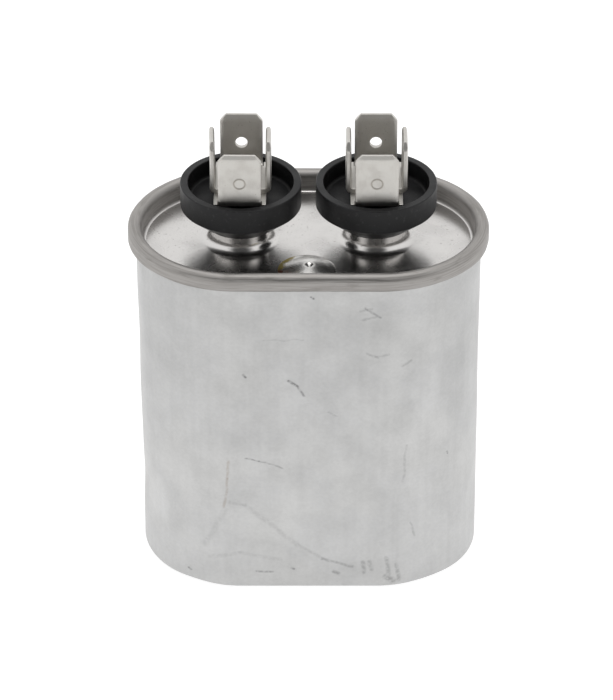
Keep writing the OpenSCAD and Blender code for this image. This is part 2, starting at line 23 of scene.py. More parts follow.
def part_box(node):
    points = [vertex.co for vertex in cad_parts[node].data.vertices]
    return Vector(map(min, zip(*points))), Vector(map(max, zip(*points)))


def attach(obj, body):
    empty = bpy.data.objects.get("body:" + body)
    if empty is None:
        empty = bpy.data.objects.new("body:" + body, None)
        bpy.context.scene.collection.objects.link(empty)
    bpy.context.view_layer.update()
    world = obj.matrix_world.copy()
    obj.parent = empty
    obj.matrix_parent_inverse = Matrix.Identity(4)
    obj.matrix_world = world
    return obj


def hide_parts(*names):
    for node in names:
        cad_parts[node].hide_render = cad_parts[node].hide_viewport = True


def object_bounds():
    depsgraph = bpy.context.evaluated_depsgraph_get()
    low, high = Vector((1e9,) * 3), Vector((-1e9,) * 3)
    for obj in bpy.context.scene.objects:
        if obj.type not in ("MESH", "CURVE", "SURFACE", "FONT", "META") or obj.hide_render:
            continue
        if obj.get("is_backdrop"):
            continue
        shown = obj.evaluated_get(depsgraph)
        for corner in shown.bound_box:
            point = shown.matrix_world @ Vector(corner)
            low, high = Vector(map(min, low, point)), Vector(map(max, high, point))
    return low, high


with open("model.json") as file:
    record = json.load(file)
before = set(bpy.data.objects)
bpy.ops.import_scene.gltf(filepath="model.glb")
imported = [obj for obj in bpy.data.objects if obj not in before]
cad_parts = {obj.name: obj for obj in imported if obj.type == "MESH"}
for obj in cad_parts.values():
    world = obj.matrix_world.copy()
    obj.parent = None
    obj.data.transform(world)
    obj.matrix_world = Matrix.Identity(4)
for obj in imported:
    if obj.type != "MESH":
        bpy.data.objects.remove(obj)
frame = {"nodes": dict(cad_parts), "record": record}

Array = np.ndarray
Field = Callable[[Array], Array]
Pair = tuple[float, float]
Triple = tuple[float, float, float]
Colour = Triple
Socket = bpy.types.NodeSocket
Material = bpy.types.Material
Piece = bpy.types.Object

LOG = logging.getLogger("capacitor")
MM = 0.001
BODY = "root"
INSIDE_ONLY = 1
CDT_GAP = 1e-6


# ---------------------------------------------------------------- surfaces


def unit(vectors: Array) -> Array:
    """Vectors along the last axis at length one; a zero vector stays zero."""
    length = np.linalg.norm(vectors, axis=-1, keepdims=True)
    return vectors / np.where(length > 0, length, 1)


def smooth(value: Array, low: float, high: float) -> Array:
    """Smooth step: 0 below low, 1 above high, 3 t^2 - 2 t^3 between them."""
    share = np.clip((value - low) / (high - low), 0, 1)
    return share * share * (3 - 2 * share)


def upwards(points: Array) -> Array:
    """The upward direction for each point."""
    return np.tile([0.0, 0.0, 1.0], (len(points), 1))


class Surface:
    """Faces gathered patch by patch, with the exact normal at every face corner.

    Points closer than WELD are one vertex; SHIFT keeps round numbers off the borders of
    the cells that they are sorted into. STEP is the step of the central differences.
    """

    WELD = 1e-7
    SHIFT = 0.2371
    STEP = 0.02 * MM

    def __init__(self) -> None:
        """Starts an empty surface."""
        self.patches: list[tuple[Array, Array, Array]] = []

    def add(self, points: Array, corners: Array, normals: Array) -> None:
        """Adds one patch.

        Args:
            points: Places, one row each.
            corners: The points of each face, one face a row.
            normals: The outward normal at each of those corners.
        """
        self.patches.append((points, corners, normals))

    def ripple(self, height: Field, direction: Field) -> None:
        """Displaces the surface and tilts its normals to match.

        Formula: P moves to P + h(P) d(P). A normal n becomes n - (d . n) g at unit length,
        where g is the gradient of h by central differences, less its part along n.

        Args:
            height: Gives h for rows of points.
            direction: Gives the unit vectors d for the same rows.
        """
        for number, (points, corners, normals) in enumerate(self.patches):
            shifts = self.STEP * np.eye(3)
            slope = np.stack([height(points + e) - height(points - e) for e in shifts], axis=1)
            slope = (slope / (2 * self.STEP))[corners]
            way = direction(points)
            lean = (way[corners] * normals).sum(axis=-1, keepdims=True)
            slope -= (slope * normals).sum(axis=-1, keepdims=True) * normals
            moved = points + height(points)[:, None] * way
            self.patches[number] = (moved, corners, unit(normals - lean * slope))

    def build(self, name: str) -> Piece:
        """Welds the patches into one closed mesh object.

        Points at one place become one vertex, corners that fall together are dropped, and
        each face is turned to agree with its normals.

        Args:
            name: Name of the piece.

        Returns:
            The new object, at the origin.
        """
        points = np.concatenate([patch[0] for patch in self.patches])
        keys = np.round(points / self.WELD + self.SHIFT).astype(np.int64)
        _, first, index = np.unique(keys, axis=0, return_index=True, return_inverse=True)
        index = index.reshape(-1)
        loops, normals, sizes = [], [], []
        start = 0
        for places, corners, across in self.patches:
            chord = places[corners]
            facing = np.cross(chord[:, 2] - chord[:, 0], chord[:, -1] - chord[:, 1])
            if corners.shape[1] == 3:
                facing = np.cross(chord[:, 1] - chord[:, 0], chord[:, 2] - chord[:, 0])
            turned = (facing * across.sum(axis=1)).sum(axis=-1) < 0
            corners = np.where(turned[:, None], corners[:, ::-1], corners)
            across = np.where(turned[:, None, None], across[:, ::-1], across)
            welded = index[corners + start]
            kept = welded != np.roll(welded, -1, axis=1)
            kept &= (kept.sum(axis=1) >= 3)[:, None]
            loops.append(welded[kept])
            normals.append(across[kept])
            sizes.append(kept.sum(axis=1)[kept.any(axis=1)])
            start += len(places)
        ends = np.cumsum(np.concatenate(sizes))
        mesh = bpy.data.meshes.new(name)
        mesh.vertices.add(len(first))
        mesh.vertices.foreach_set("co", points[first].astype(np.float32).ravel())
        mesh.loops.add(int(ends[-1]))
        mesh.loops.foreach_set("vertex_index", np.concatenate(loops).astype(np.int32))
        mesh.polygons.add(len(ends))
        mesh.polygons.foreach_set("loop_start", np.concatenate([[0], ends[:-1]]).astype(np.int32))
        mesh.polygons.foreach_set("use_smooth", np.ones(len(ends), bool))
        mesh.update(calc_edges=True)
        mesh.normals_split_custom_set(np.concatenate(normals).tolist())
        piece = bpy.data.objects.new(name, mesh)
        bpy.context.scene.collection.objects.link(piece)
        return piece


class Section:
    """An outline in the plane of distance r and height z, with the solid on its left.

    Each step keeps the outward normals at its two ends, so arcs shade round and corners
    stay sharp. The normal is the direction of travel turned a quarter to the right. A step
    shorter than LEAST is left out.
    """

    LEAST = 1e-9

    def __init__(self, r: float, z: float) -> None:
        """Starts the outline at one point."""
        self.places: list[Pair] = [(r, z)]
        self.starts: list[Pair] = []
        self.ends: list[Pair] = []

    def to(self, r: float, z: float, steps: int = 1) -> "Section":
        """Goes straight to (r, z) in equal steps."""
        r0, z0 = self.places[-1]
        length = math.hypot(r - r0, z - z0)
        if length < self.LEAST:
            return self
        normal = ((z - z0) / length, -(r - r0) / length)
        for share in np.linspace(0, 1, steps + 1)[1:]:
            self.places.append((r0 + (r - r0) * share, z0 + (z - z0) * share))
            self.starts.append(normal)
            self.ends.append(normal)
        return self

    def turn(self, r: float, z: float, radius: float, start: float, end: float,
             steps: int = 10) -> "Section":
        """Goes round (r, z) at a radius, from one angle to another in degrees.

        Formula: centre + radius (cos a, sin a). The normal points away from the centre on a
        left turn and to it on a right turn.
        """
        angles = np.radians(np.linspace(start, end, steps + 1))
        sign = 1 if end > start else -1
        rim = np.stack([np.cos(angles), np.sin(angles)], axis=1)
        self.to(r + radius * rim[0, 0], z + radius * rim[0, 1])
        for before, after in zip(rim[:-1], rim[1:]):
            self.places.append((r + radius * after[0], z + radius * after[1]))
            self.starts.append((sign * before[0], sign * before[1]))
            self.ends.append((sign * after[0], sign * after[1]))
        return self

    def arrays(self) -> tuple[Array, Array, Array]:
        """Places, and the normals at the start and the end of each step."""
        return np.array(self.places), np.array(self.starts), np.array(self.ends)


@dataclass(frozen=True)
class Track:
    """A closed path in plan: points of its spine, and the directions away from it."""

    spine: Array
    out: Array

    @staticmethod
    def oval(half_straight: float, arc_steps: int = 90, straight_steps: int = 16) -> "Track":
        """Once round an oval, counter-clockwise from the middle of its far side.

        Formula: on a straight side the spine point slides along X and the direction stays;
        on a round end the spine point stays and the direction turns by half a circle.

        Args:
            half_straight: Half the distance between the two end centres.
            arc_steps: Steps on each round end.
            straight_steps: Steps on each straight side.

        Returns:
            The closed track, its last station on its first.
        """
        half = straight_steps // 2
        spine_x = np.concatenate([
            np.linspace(0, -half_straight, half + 1), np.full(arc_steps - 1, -half_straight),
            np.linspace(-half_straight, half_straight, straight_steps + 1),
            np.full(arc_steps - 1, half_straight), np.linspace(half_straight, 0, half + 1)])
        arc = np.linspace(90, 270, arc_steps + 1)[1:-1]
        angle = np.radians(np.concatenate([
            np.full(half + 1, 90), arc, np.full(straight_steps + 1, 270), arc + 180,
            np.full(half + 1, 450)]))
        return Track(np.stack([spine_x, np.zeros_like(spine_x)], axis=1),
                     np.stack([np.cos(angle), np.sin(angle)], axis=1))

    @staticmethod
    def circle(x: float, y: float, steps: int = 96) -> "Track":
        """Once round the point (x, y), counter-clockwise."""
        angle = np.linspace(0, 2 * math.pi, steps + 1)
        angle[-1] = 0
        return Track(np.tile([x, y], (steps + 1, 1)), np.stack([np.cos(angle), np.sin(angle)], axis=1))

    def ring(self, r: float) -> Array:
        """The path's points at distance r, without the repeated last one."""
        return (self.spine + r * self.out)[:-1]


def carry(surface: Surface, section: Section, track: Track) -> None:
    """Carries a section once round a track.

    Formula: P(t, s) = spine(t) + r(s) out(t) + z(s) up, and the normal is built from the
    section's normal in the same way.

    Args:
        surface: Takes the new patch.
        section: Outline in distance and height.
        track: Closed path in plan.
    """
    places, starts, ends = section.arrays()
    stations, rows = len(track.out), len(places)
    plan = track.spine[:, None] + places[None, :, :1] * track.out[:, None]
    height = np.broadcast_to(places[None, :, 1:], (stations, rows, 1))
    points = np.concatenate([plan, height], axis=2).reshape(-1, 3)
    number = np.arange(stations * rows).reshape(stations, rows)
    corners = np.stack([number[:-1, :-1], number[1:, :-1], number[1:, 1:], number[:-1, 1:]], axis=-1)

    def lifted(flat: Array, out: Array) -> Array:
        """Section normals turned to the stations' directions."""
        level = flat[None, :, :1] * out[:, None]
        return np.concatenate([level, np.broadcast_to(flat[None, :, 1:], level.shape[:2] + (1,))], axis=2)

    normals = np.stack([lifted(starts, track.out[:-1]), lifted(starts, track.out[1:]),
                        lifted(ends, track.out[1:]), lifted(ends, track.out[:-1])], axis=2)
    surface.add(points, corners.reshape(-1, 4), normals.reshape(-1, 4, 3))


def inside(points: Array, outline: Array) -> Array:
    """Whether points lie in an outline: a ray from each crosses it an odd number of times."""
    x, y = points[:, :1], points[:, 1:]
    x0, y0 = outline.T
    x1, y1 = np.roll(outline, -1, axis=0).T
    spans = (y0 > y) != (y1 > y)
    rise = np.where(y1 == y0, 1, y1 - y0)
    return ((x < x0 + (y - y0) * (x1 - x0) / rise) & spans).sum(axis=1) % 2 == 1


def pave(outline: Array, holes: list[Array], extra: Array, margin: float) -> tuple[Array, Array]:
    """Triangles over a flat region with holes.

    Args:
        outline: Outer boundary.
        holes: Boundaries of the holes.
        extra: Points wanted inside; those near a boundary or outside are dropped.
        margin: Least distance of such a point from the boundaries.

    Returns:
        The points, and the three points of each triangle.
    """
    rims = [outline, *holes]
    edge = np.concatenate(rims)
    free = inside(extra, outline)
    for hole in holes:
        free &= ~inside(extra, hole)
    near = np.linalg.norm(extra[:, None] - edge[None], axis=2).min(axis=1)
    flat = np.concatenate([edge, extra[free & (near > margin)]])
    lines = []
    start = 0
    for rim in rims:
        number = np.arange(start, start + len(rim))
        lines += np.stack([number, np.roll(number, -1)], axis=1).tolist()
        start += len(rim)
    in_millimetres = [Vector(p) for p in (flat / MM).tolist()]
    _, _, triangles, came_from, _, _ = delaunay_2d_cdt(in_millimetres, lines, [], INSIDE_ONLY, CDT_GAP)
    places = flat[[number[0] for number in came_from]]
    corners = np.array(triangles)
    centres = places[corners].mean(axis=1)
    in_hole = np.zeros(len(corners), bool)
    for hole in holes:
        in_hole |= inside(centres, hole)
    return places, corners[~in_hole]


def grid(x_rows: Iterable[float], y_rows: Iterable[float]) -> Array:
    """Every pair of the two lists as rows of points."""
    return np.array(np.meshgrid(list(x_rows), list(y_rows))).reshape(2, -1).T


# ---------------------------------------------------------------- finishes


class Wiring:
    """A node tree while its patterns are wired.

    MIX_INPUTS and MIX_OUTPUT are the colour sockets of a Mix node, which shares its names
    between its kinds of data.
    """

    MIX_INPUTS = (0, 6, 7)
    MIX_OUTPUT = 2

    def __init__(self, tree: bpy.types.NodeTree, coordinates: str) -> None:
        """Takes the tree, and the name of the coordinates that its patterns lie in."""
        self.tree = tree
        self.place = tree.nodes.new("ShaderNodeTexCoord").outputs[coordinates]

    def _feed(self, socket: Socket, value: object) -> None:
        """Sets a socket to a number or colour, or wires another socket to it."""
        if isinstance(value, Socket):
            self.tree.links.new(value, socket)
        elif isinstance(value, tuple) and len(value) == 3 and socket.type == "RGBA":
            socket.default_value = (*value, 1)
        else:
            socket.default_value = value

    def attribute(self, name: str) -> bpy.types.Node:
        """A node that reads one of the mesh's own attributes."""
        node = self.tree.nodes.new("ShaderNodeAttribute")
        node.attribute_name = name
        return node

    def vector(self, how: str, *values: object) -> bpy.types.Node:
        """One step of vector arithmetic on sockets or fixed vectors."""
        node = self.tree.nodes.new("ShaderNodeVectorMath")
        node.operation = how
        for socket, value in zip(node.inputs, values):
            self._feed(socket, value)
        return node

    def scaled(self, vector: Socket, scale: Triple, shift: Triple = (0, 0, 0)) -> Socket:
        """A vector times a scale, plus a shift."""
        return self.vector("MULTIPLY_ADD", vector, scale, shift).outputs["Vector"]

    def dot(self, vector: Socket, way: Triple) -> Socket:
        """A vector's part along a fixed direction."""
        return self.vector("DOT_PRODUCT", vector, way).outputs["Value"]

    def times(self, vector: object, gain: Socket) -> Socket:
        """A vector or a colour times a number."""
        node = self.vector("SCALE", vector)
        self._feed(node.inputs["Scale"], gain)
        return node.outputs["Vector"]

    def noise(self, size: float, stretch: Triple = (1, 1, 1), detail: float = 3,
              vector: Socket | None = None, shift: float = 0, output: str = "Fac") -> Socket:
        """Cloudy noise from 0 to 1.

        Args:
            size: Size of a cloud, in metres.
            stretch: How many times longer the clouds are along each axis.
            detail: Octaves.
            vector: Coordinates; the object's own where none are given.
            shift: Moves the pattern, so that two noises differ.
            output: "Fac" for one value, or "Color" for three that differ.

        Returns:
            The noise value.
        """
        node = self.tree.nodes.new("ShaderNodeTexNoise")
        place = self.scaled(vector or self.place, tuple(1 / (size * s) for s in stretch),
                            (shift, 2 * shift, 3 * shift))
        self._feed(node.inputs["Vector"], place)
        node.inputs["Scale"].default_value = 1
        node.inputs["Detail"].default_value = detail
        return node.outputs[output]

    def span(self, value: Socket, low: float, high: float, to_low: float = 0,
             to_high: float = 1) -> Socket:
        """A value mapped smoothly from one range to another and held at its ends."""
        node = self.tree.nodes.new("ShaderNodeMapRange")
        node.interpolation_type = "SMOOTHSTEP"
        self._feed(node.inputs["Value"], value)
        limits = {"From Min": low, "From Max": high, "To Min": to_low, "To Max": to_high}
        for name, number in limits.items():
            node.inputs[name].default_value = number
        return node.outputs["Result"]

    def math(self, how: str, one: object, two: object = 0.0, three: object = 0.0) -> Socket:
        """One arithmetic step on two or three values."""
        node = self.tree.nodes.new("ShaderNodeMath")
        node.operation = how
        for socket, value in zip(node.inputs, (one, two, three)):
            self._feed(socket, value)
        return node.outputs["Value"]

    def mix(self, share: object, one: object, two: object) -> Socket:
        """Two colours blended by a share."""
        node = self.tree.nodes.new("ShaderNodeMix")
        node.data_type = "RGBA"
        for number, value in zip(self.MIX_INPUTS, (share, one, two)):
            self._feed(node.inputs[number], value)
        return node.outputs[self.MIX_OUTPUT]

    def bump(self, height: Socket, depth: float, before: Socket | None = None) -> Socket:
        """Relief from a height of 0 to 1, that many metres deep."""
        node = self.tree.nodes.new("ShaderNodeBump")
        node.inputs["Distance"].default_value = depth
        self._feed(node.inputs["Height"], height)
        if before is not None:
            self._feed(node.inputs["Normal"], before)
        return node.outputs["Normal"]

    def stroke(self, start: Triple, end: Triple, width: float, vector: Socket) -> Socket:
        """How strongly a point lies on a thin stroke, from 1 on its line to 0 at its width.

        Formula: with u = (P - A) . (B - A) / |B - A|^2 held in 0 to 1, the distance is
        |P - A - u (B - A)|, and the strength falls smoothly from 0.15 of the width on.
        """
        along = Vector(end) - Vector(start)
        offset = self.scaled(vector, (1, 1, 1), tuple(-Vector(start)))
        share = self.tree.nodes.new("ShaderNodeClamp")
        self._feed(share.inputs["Value"], self.dot(offset, along / along.length_squared))
        foot = self.times(along, share.outputs["Result"])
        gap = self.vector("DISTANCE", offset, foot).outputs["Value"]
        return self.span(gap, 0.15 * width, width, 1, 0)


class Paint(Wiring):
    """One material while its nodes are wired: a Principled shader and its patterns."""

    def __init__(self, name: str, metallic: float, roughness: float, level: float = 0.5) -> None:
        """Makes the material.

        Args:
            name: Name of the material.
            metallic: 1 for bare metal and 0 for anything else.
            roughness: Roughness where no pattern drives it.
            level: Specular level.
        """
        self.material = bpy.data.materials.new(name)
        self.material.use_nodes = True
        super().__init__(self.material.node_tree, "Object")
        self.shader = self.tree.nodes["Principled BSDF"]
        self.shader.inputs["Metallic"].default_value = metallic
        self.shader.inputs["Roughness"].default_value = roughness
        self.shader.inputs["Specular IOR Level"].default_value = level

    def link(self, source: Socket, target: str) -> None:
        """Wires a socket to one of the shader's inputs."""
        self.tree.links.new(source, self.shader.inputs[target])


@dataclass(frozen=True)
class Mark:
    """A scratch or smudge on the front of the can.

    It is a stroke between two places, each given as distance from the middle and height,
    in millimetres.
    """

    start: Pair
    end: Pair
    width: float
    strength: float
    brown: bool = False


@dataclass(frozen=True)
class Patch:
    """A soft lighter or darker area on the front of the can, in millimetres."""

    centre: Pair
    radii: Pair
    gain: float


@dataclass(frozen=True)
class Cloud:
    """Mottling at one size: a noise that makes the metal lighter and darker by a share."""

    size: float
    stretch: Triple
    detail: float
    depth: float
    shift: float


@dataclass(frozen=True)
class CanAluminium:
    """Bare drawn aluminium: matt, faintly mottled, with handling marks on its front and painted light
    that fades with height.

    The patches and marks wander a little with a slow noise, so that none is quite even.
    """

    base: Colour = (0.54, 0.539, 0.534)
    cool: Colour = (0.53, 0.53, 0.528)
    dark: Colour = (0.24, 0.24, 0.24)
    brown: Colour = (0.36, 0.31, 0.27)
    roughness: float = 0.5
    foot_gain: float = 1.03
    top_gain: float = 0.935
    height: float = 50 * MM
    wander: float = 0.9 * MM
    wander_size: float = 2.8 * MM
    clouds: tuple[Cloud, ...] = (
        Cloud(6 * MM, (1, 1, 1.4), 3, 0.012, 0), Cloud(1.1 * MM, (1.3, 1, 1), 4, 0.018, 3),
        Cloud(0.4 * MM, (1.2, 1, 1), 4, 0.028, 6), Cloud(1.1 * MM, (1, 1, 26), 3, 0.016, 9))
    patches: tuple[Patch, ...] = (
        Patch((9, 47), (5, 6.5), -0.05), Patch((-22, 42), (3, 11), -0.035),
        Patch((21.5, 38), (2.5, 13), -0.04), Patch((15.5, 49), (2.2, 5), 0.035),
        Patch((17.5, 35), (2.2, 5.5), 0.055), Patch((20, 27), (2, 3), 0.04),
        Patch((15.5, 23), (1.3, 5), 0.035), Patch((-23, 12.5), (1.8, 4), 0.08),
        Patch((-20, 11.5), (1.6, 5), -0.05), Patch((-2, 13), (7, 5), 0.035),
        Patch((10, 3.5), (4.5, 2), -0.05), Patch((-15, 3), (5, 2), -0.02))
    marks: tuple[Mark, ...] = (
        Mark((0.4, 52.3), (0.7, 52.1), 0.28, 1.0),
        Mark((7.6, 49.8), (9.2, 50.3), 0.3, 0.45), Mark((8.4, 50.3), (10.5, 48.7), 0.3, 0.6),
        Mark((7.9, 48.4), (9.9, 48.9), 0.3, 0.4), Mark((8.8, 42.5), (10.3, 41.8), 0.28, 0.4),
        Mark((10.0, 41.9), (11.8, 42.3), 0.28, 0.35), Mark((14.0, 40.1), (15.2, 40.9), 0.35, 0.4),
        Mark((-6.6, 44.9), (-0.7, 44.9), 0.2, 0.25), Mark((-9.7, 38.8), (-9.3, 38.4), 0.3, 1.0),
        Mark((-2.9, 37.7), (-1.7, 36.8), 0.3, 1.0), Mark((-1.7, 36.8), (-0.7, 34.9), 0.28, 0.8),
        Mark((2.9, 32.2), (4.4, 31.3), 0.28, 0.35), Mark((21.0, 22.3), (21.1, 22.0), 0.25, 0.9),
        Mark((-9.5, 23.7), (-7.4, 23.4), 0.22, 0.7), Mark((-7.4, 23.4), (-3.8, 22.1), 0.22, 0.5),
        Mark((-12.0, 23.2), (-12.2, 20.2), 0.35, 0.45, True),
        Mark((-12.2, 20.2), (-12.8, 14.9), 0.35, 0.45, True),
        Mark((-12.6, 14.3), (-15.8, 7.3), 0.7, 0.16), Mark((-11.9, 15.7), (-9.6, 15.4), 0.5, 0.2),
        Mark((-9.6, 15.4), (-1.7, 8.0), 0.65, 0.2), Mark((-1.7, 8.0), (2.1, 5.4), 0.45, 0.22),
        Mark((2.1, 5.4), (6.7, 3.9), 0.4, 0.5), Mark((-15.0, 5.3), (-10.4, 6.5), 0.5, 0.16),
        Mark((-10.4, 6.5), (-4.3, 5.2), 0.5, 0.16), Mark((-8.0, 3.1), (-5.4, 3.1), 0.25, 0.6),
        Mark((-2.5, 3.7), (-2.1, 3.5), 0.28, 0.7), Mark((3.9, 2.9), (4.7, 2.7), 0.45, 0.6),
        Mark((8.3, 4.8), (8.5, 2.9), 0.5, 0.5), Mark((9.2, 5.0), (9.6, 3.3), 0.5, 0.4),
        Mark((12.0, 5.5), (12.2, 2.3), 0.5, 0.45), Mark((13.4, 4.0), (13.7, 1.2), 0.5, 0.5),
        Mark((11.7, 2.0), (12.8, 1.1), 0.7, 0.6), Mark((-18.3, 1.8), (-18.0, 1.7), 0.3, 0.9),
        Mark((15.4, 11.5), (16.2, 8.7), 0.25, 0.35), Mark((14.7, 25.7), (14.3, 19.3), 0.3, 0.3))

    def material(self) -> Material:
        """Wires the finish and returns it."""
        paint = Paint("can_aluminium", 1, self.roughness)
        wander = paint.scaled(paint.noise(self.wander_size, output="Color"), (self.wander,) * 3,
                              (-self.wander / 2,) * 3)
        front = paint.scaled(paint.vector("ADD", wander, paint.place).outputs["Vector"], (1, 0, 1))
        before = paint.math("LESS_THAN", paint.dot(paint.place, (0, 1, 0)), 0.0)
        tint = paint.mix(paint.span(paint.noise(9 * MM, shift=5), 0.4, 0.65), self.cool, self.base)
        tint = paint.times(tint, self._gain(paint, front, before))
        paint.link(self._marked(paint, tint, front, before), "Base Color")
        paint.link(paint.span(paint.noise(5 * MM, detail=4, shift=2), 0.3, 0.7, self.roughness - 0.05,
                              self.roughness + 0.06), "Roughness")
        grain = paint.bump(paint.noise(0.16 * MM, (1, 1, 4), detail=3), 0.004 * MM)
        paint.link(paint.bump(paint.noise(1.2 * MM, detail=2, shift=4), 0.006 * MM, grain), "Normal")
        return paint.material

    def _gain(self, paint: Paint, front: Socket, before: Socket) -> Socket:
        """How light the metal is: painted light and shade with height, lighter at the foot and darker at
        the top, then patches and clouds.
        """
        z = paint.dot(paint.place, (0, 0, 1))
        # Painted light and shade: the metal is lighter at the foot and darker towards the top, as the
        # light falls on it.
        gain = paint.span(z, 0, self.height, self.foot_gain, self.top_gain)
        for patch in self.patches:
            (across, up), (wide, high) = patch.centre, patch.radii
            offset = (-across / wide, 0, -up / high)
            apart = paint.scaled(front, (1 / (wide * MM), 0, 1 / (high * MM)), offset)
            spread = paint.span(paint.vector("LENGTH", apart).outputs["Value"], 0.55, 1.25, patch.gain, 0)
            gain = paint.math("MULTIPLY_ADD", before, spread, gain)
        for cloud in self.clouds:
            noise = paint.noise(cloud.size, cloud.stretch, cloud.detail, shift=cloud.shift)
            share = paint.span(noise, 0.25, 0.75, 1 - cloud.depth, 1 + cloud.depth)
            gain = paint.math("MULTIPLY", gain, share)
        return gain

    def _marked(self, paint: Paint, tint: Socket, front: Socket, before: Socket) -> Socket:
        """The colour with the scratches and smudges over it, broken up by a fine noise."""
        patchy = paint.span(paint.noise(0.5 * MM, detail=3, shift=7), 0.32, 0.6, 0.3, 1)
        patchy = paint.math("MULTIPLY", patchy, before)
        for mark in self.marks:
            start, end = ((x * MM, 0, z * MM) for x, z in (mark.start, mark.end))
            share = paint.math("MULTIPLY", paint.stroke(start, end, mark.width * MM, front), patchy)
            share = paint.math("MULTIPLY", share, mark.strength)
            tint = paint.mix(share, tint, self.brown if mark.brown else self.dark)
        return tint


@dataclass(frozen=True)
class LidTinplate:
    """Tinplate: a bright, nearly mirror-like panel and a duller rim with rolling marks.

    The mesh's own attributes say how far a point is from the spine ("reach") and where it
    lies round the rim ("lap").
    """

    panel: Colour = (0.68, 0.665, 0.65)
    rim: Colour = (0.288, 0.275, 0.262)
    rim_light: Colour = (0.4, 0.385, 0.371)
    rim_worn: Colour = (0.17, 0.163, 0.15)
    speck: Colour = (0.16, 0.14, 0.12)
    panel_roughness: float = 0.25
    rim_roughness: float = 0.52
    rim_reach: float = 13.75 * MM

    def material(self) -> Material:
        """Wires the finish and returns it."""
        paint = Paint("lid_tinplate", 1, self.panel_roughness)
        reach = paint.attribute("reach").outputs["Fac"]
        lap = paint.attribute("lap").outputs["Vector"]
        rim = paint.span(reach, self.rim_reach, self.rim_reach + 0.4 * MM)
        streaks = paint.noise(0.25 * MM, (26, 26, 1), detail=4, vector=lap)
        rim_tint = paint.mix(paint.span(streaks, 0.35, 0.65), self.rim, self.rim_light)
        worn = paint.noise(1.1 * MM, (4, 4, 1), detail=5, vector=lap, shift=3)
        worn = paint.span(worn, 0.55, 0.75, 0, 0.5)
        rim_tint = paint.mix(worn, rim_tint, self.rim_worn)
        specks = paint.span(paint.noise(0.3 * MM, detail=2, shift=6), 0.66, 0.74)
        haze = paint.span(paint.noise(6 * MM, detail=3, shift=1), 0.4, 0.7)
        panel_tint = paint.mix(haze, self.panel, tuple(0.94 * c for c in self.panel))
        panel_tint = paint.mix(paint.math("MULTIPLY", specks, 0.6), panel_tint, self.speck)
        paint.link(paint.mix(rim, panel_tint, rim_tint), "Base Color")
        panel_rough = paint.span(haze, 0, 1, self.panel_roughness - 0.03, self.panel_roughness + 0.04)
        rough = paint.math("MULTIPLY", panel_rough, paint.math("SUBTRACT", 1.0, rim))
        rim_rough = paint.span(streaks, 0.3, 0.7, self.rim_roughness - 0.06, self.rim_roughness + 0.1)
        paint.link(paint.math("ADD", rough, paint.math("MULTIPLY", rim_rough, rim)), "Roughness")
        relief = paint.bump(paint.math("MULTIPLY", streaks, rim), 0.03 * MM)
        paint.link(paint.bump(paint.noise(0.9 * MM, detail=2, shift=8), 0.004 * MM, relief), "Normal")
        return paint.material


@dataclass(frozen=True)
class CupPlastic:
    """Black moulded plastic with a soft sheen, scuffed on its rim."""

    base: Colour = (0.010, 0.010, 0.0105)
    scuffed: Colour = (0.03, 0.03, 0.031)
    roughness: float = 0.42

    def material(self) -> Material:
        """Wires the finish and returns it."""
        paint = Paint("cup_plastic", 0, self.roughness, 0.25)
        scuffs = paint.span(paint.noise(0.6 * MM, detail=6, shift=2), 0.58, 0.74, 0, 0.8)
        clouds = paint.span(paint.noise(4 * MM, detail=3), 0.35, 0.7)
        tint = paint.mix(clouds, self.base, tuple(1.5 * c for c in self.base))
        paint.link(paint.mix(scuffs, tint, self.scuffed), "Base Color")
        paint.link(paint.span(clouds, 0, 1, self.roughness - 0.05, self.roughness + 0.1), "Roughness")
        fine = paint.bump(paint.noise(0.12 * MM, detail=3, shift=5), 0.006 * MM)
        paint.link(paint.bump(paint.noise(1.2 * MM, detail=2, shift=7), 0.01 * MM, fine), "Normal")
        return paint.material


@dataclass(frozen=True)
class PlatedMetal:
    """Plated or bare sheet metal with drawing lines, dull patches and small dark specks.

    The mesh's own attribute "stamp" says where a die has pressed a ring into it; there the colour is
    darkened as painted shade in the groove.
    """

    name: str
    base: Colour
    dull: Colour
    speck: Colour = (0.2, 0.17, 0.13)
    roughness: float = 0.3
    lines: Triple = (1, 1, 12)
    line_depth: float = 0.0015 * MM

    def material(self) -> Material:
        """Wires the finish and returns it."""
        paint = Paint(self.name, 1, self.roughness)
        dull = paint.span(paint.noise(1.8 * MM, detail=5, shift=1), 0.42, 0.7)
        tint = paint.mix(dull, self.base, self.dull)
        specks = paint.span(paint.noise(0.22 * MM, detail=2, shift=4), 0.68, 0.76, 0, 0.7)
        tint = paint.mix(specks, tint, self.speck)
        # Painted shade: a stamped ring's groove is darkened with the specks' colour.
        stamp = paint.math("MULTIPLY", paint.attribute("stamp").outputs["Fac"], 0.6)
        paint.link(paint.mix(stamp, tint, self.speck), "Base Color")
        lines = paint.noise(0.12 * MM, self.lines, detail=3, shift=8)
        rough = paint.math("ADD", paint.span(dull, 0, 1, self.roughness - 0.02, self.roughness + 0.04),
                           paint.span(lines, 0.3, 0.7, -0.03, 0.04))
        paint.link(rough, "Roughness")
        paint.link(paint.bump(lines, self.line_depth), "Normal")
        return paint.material


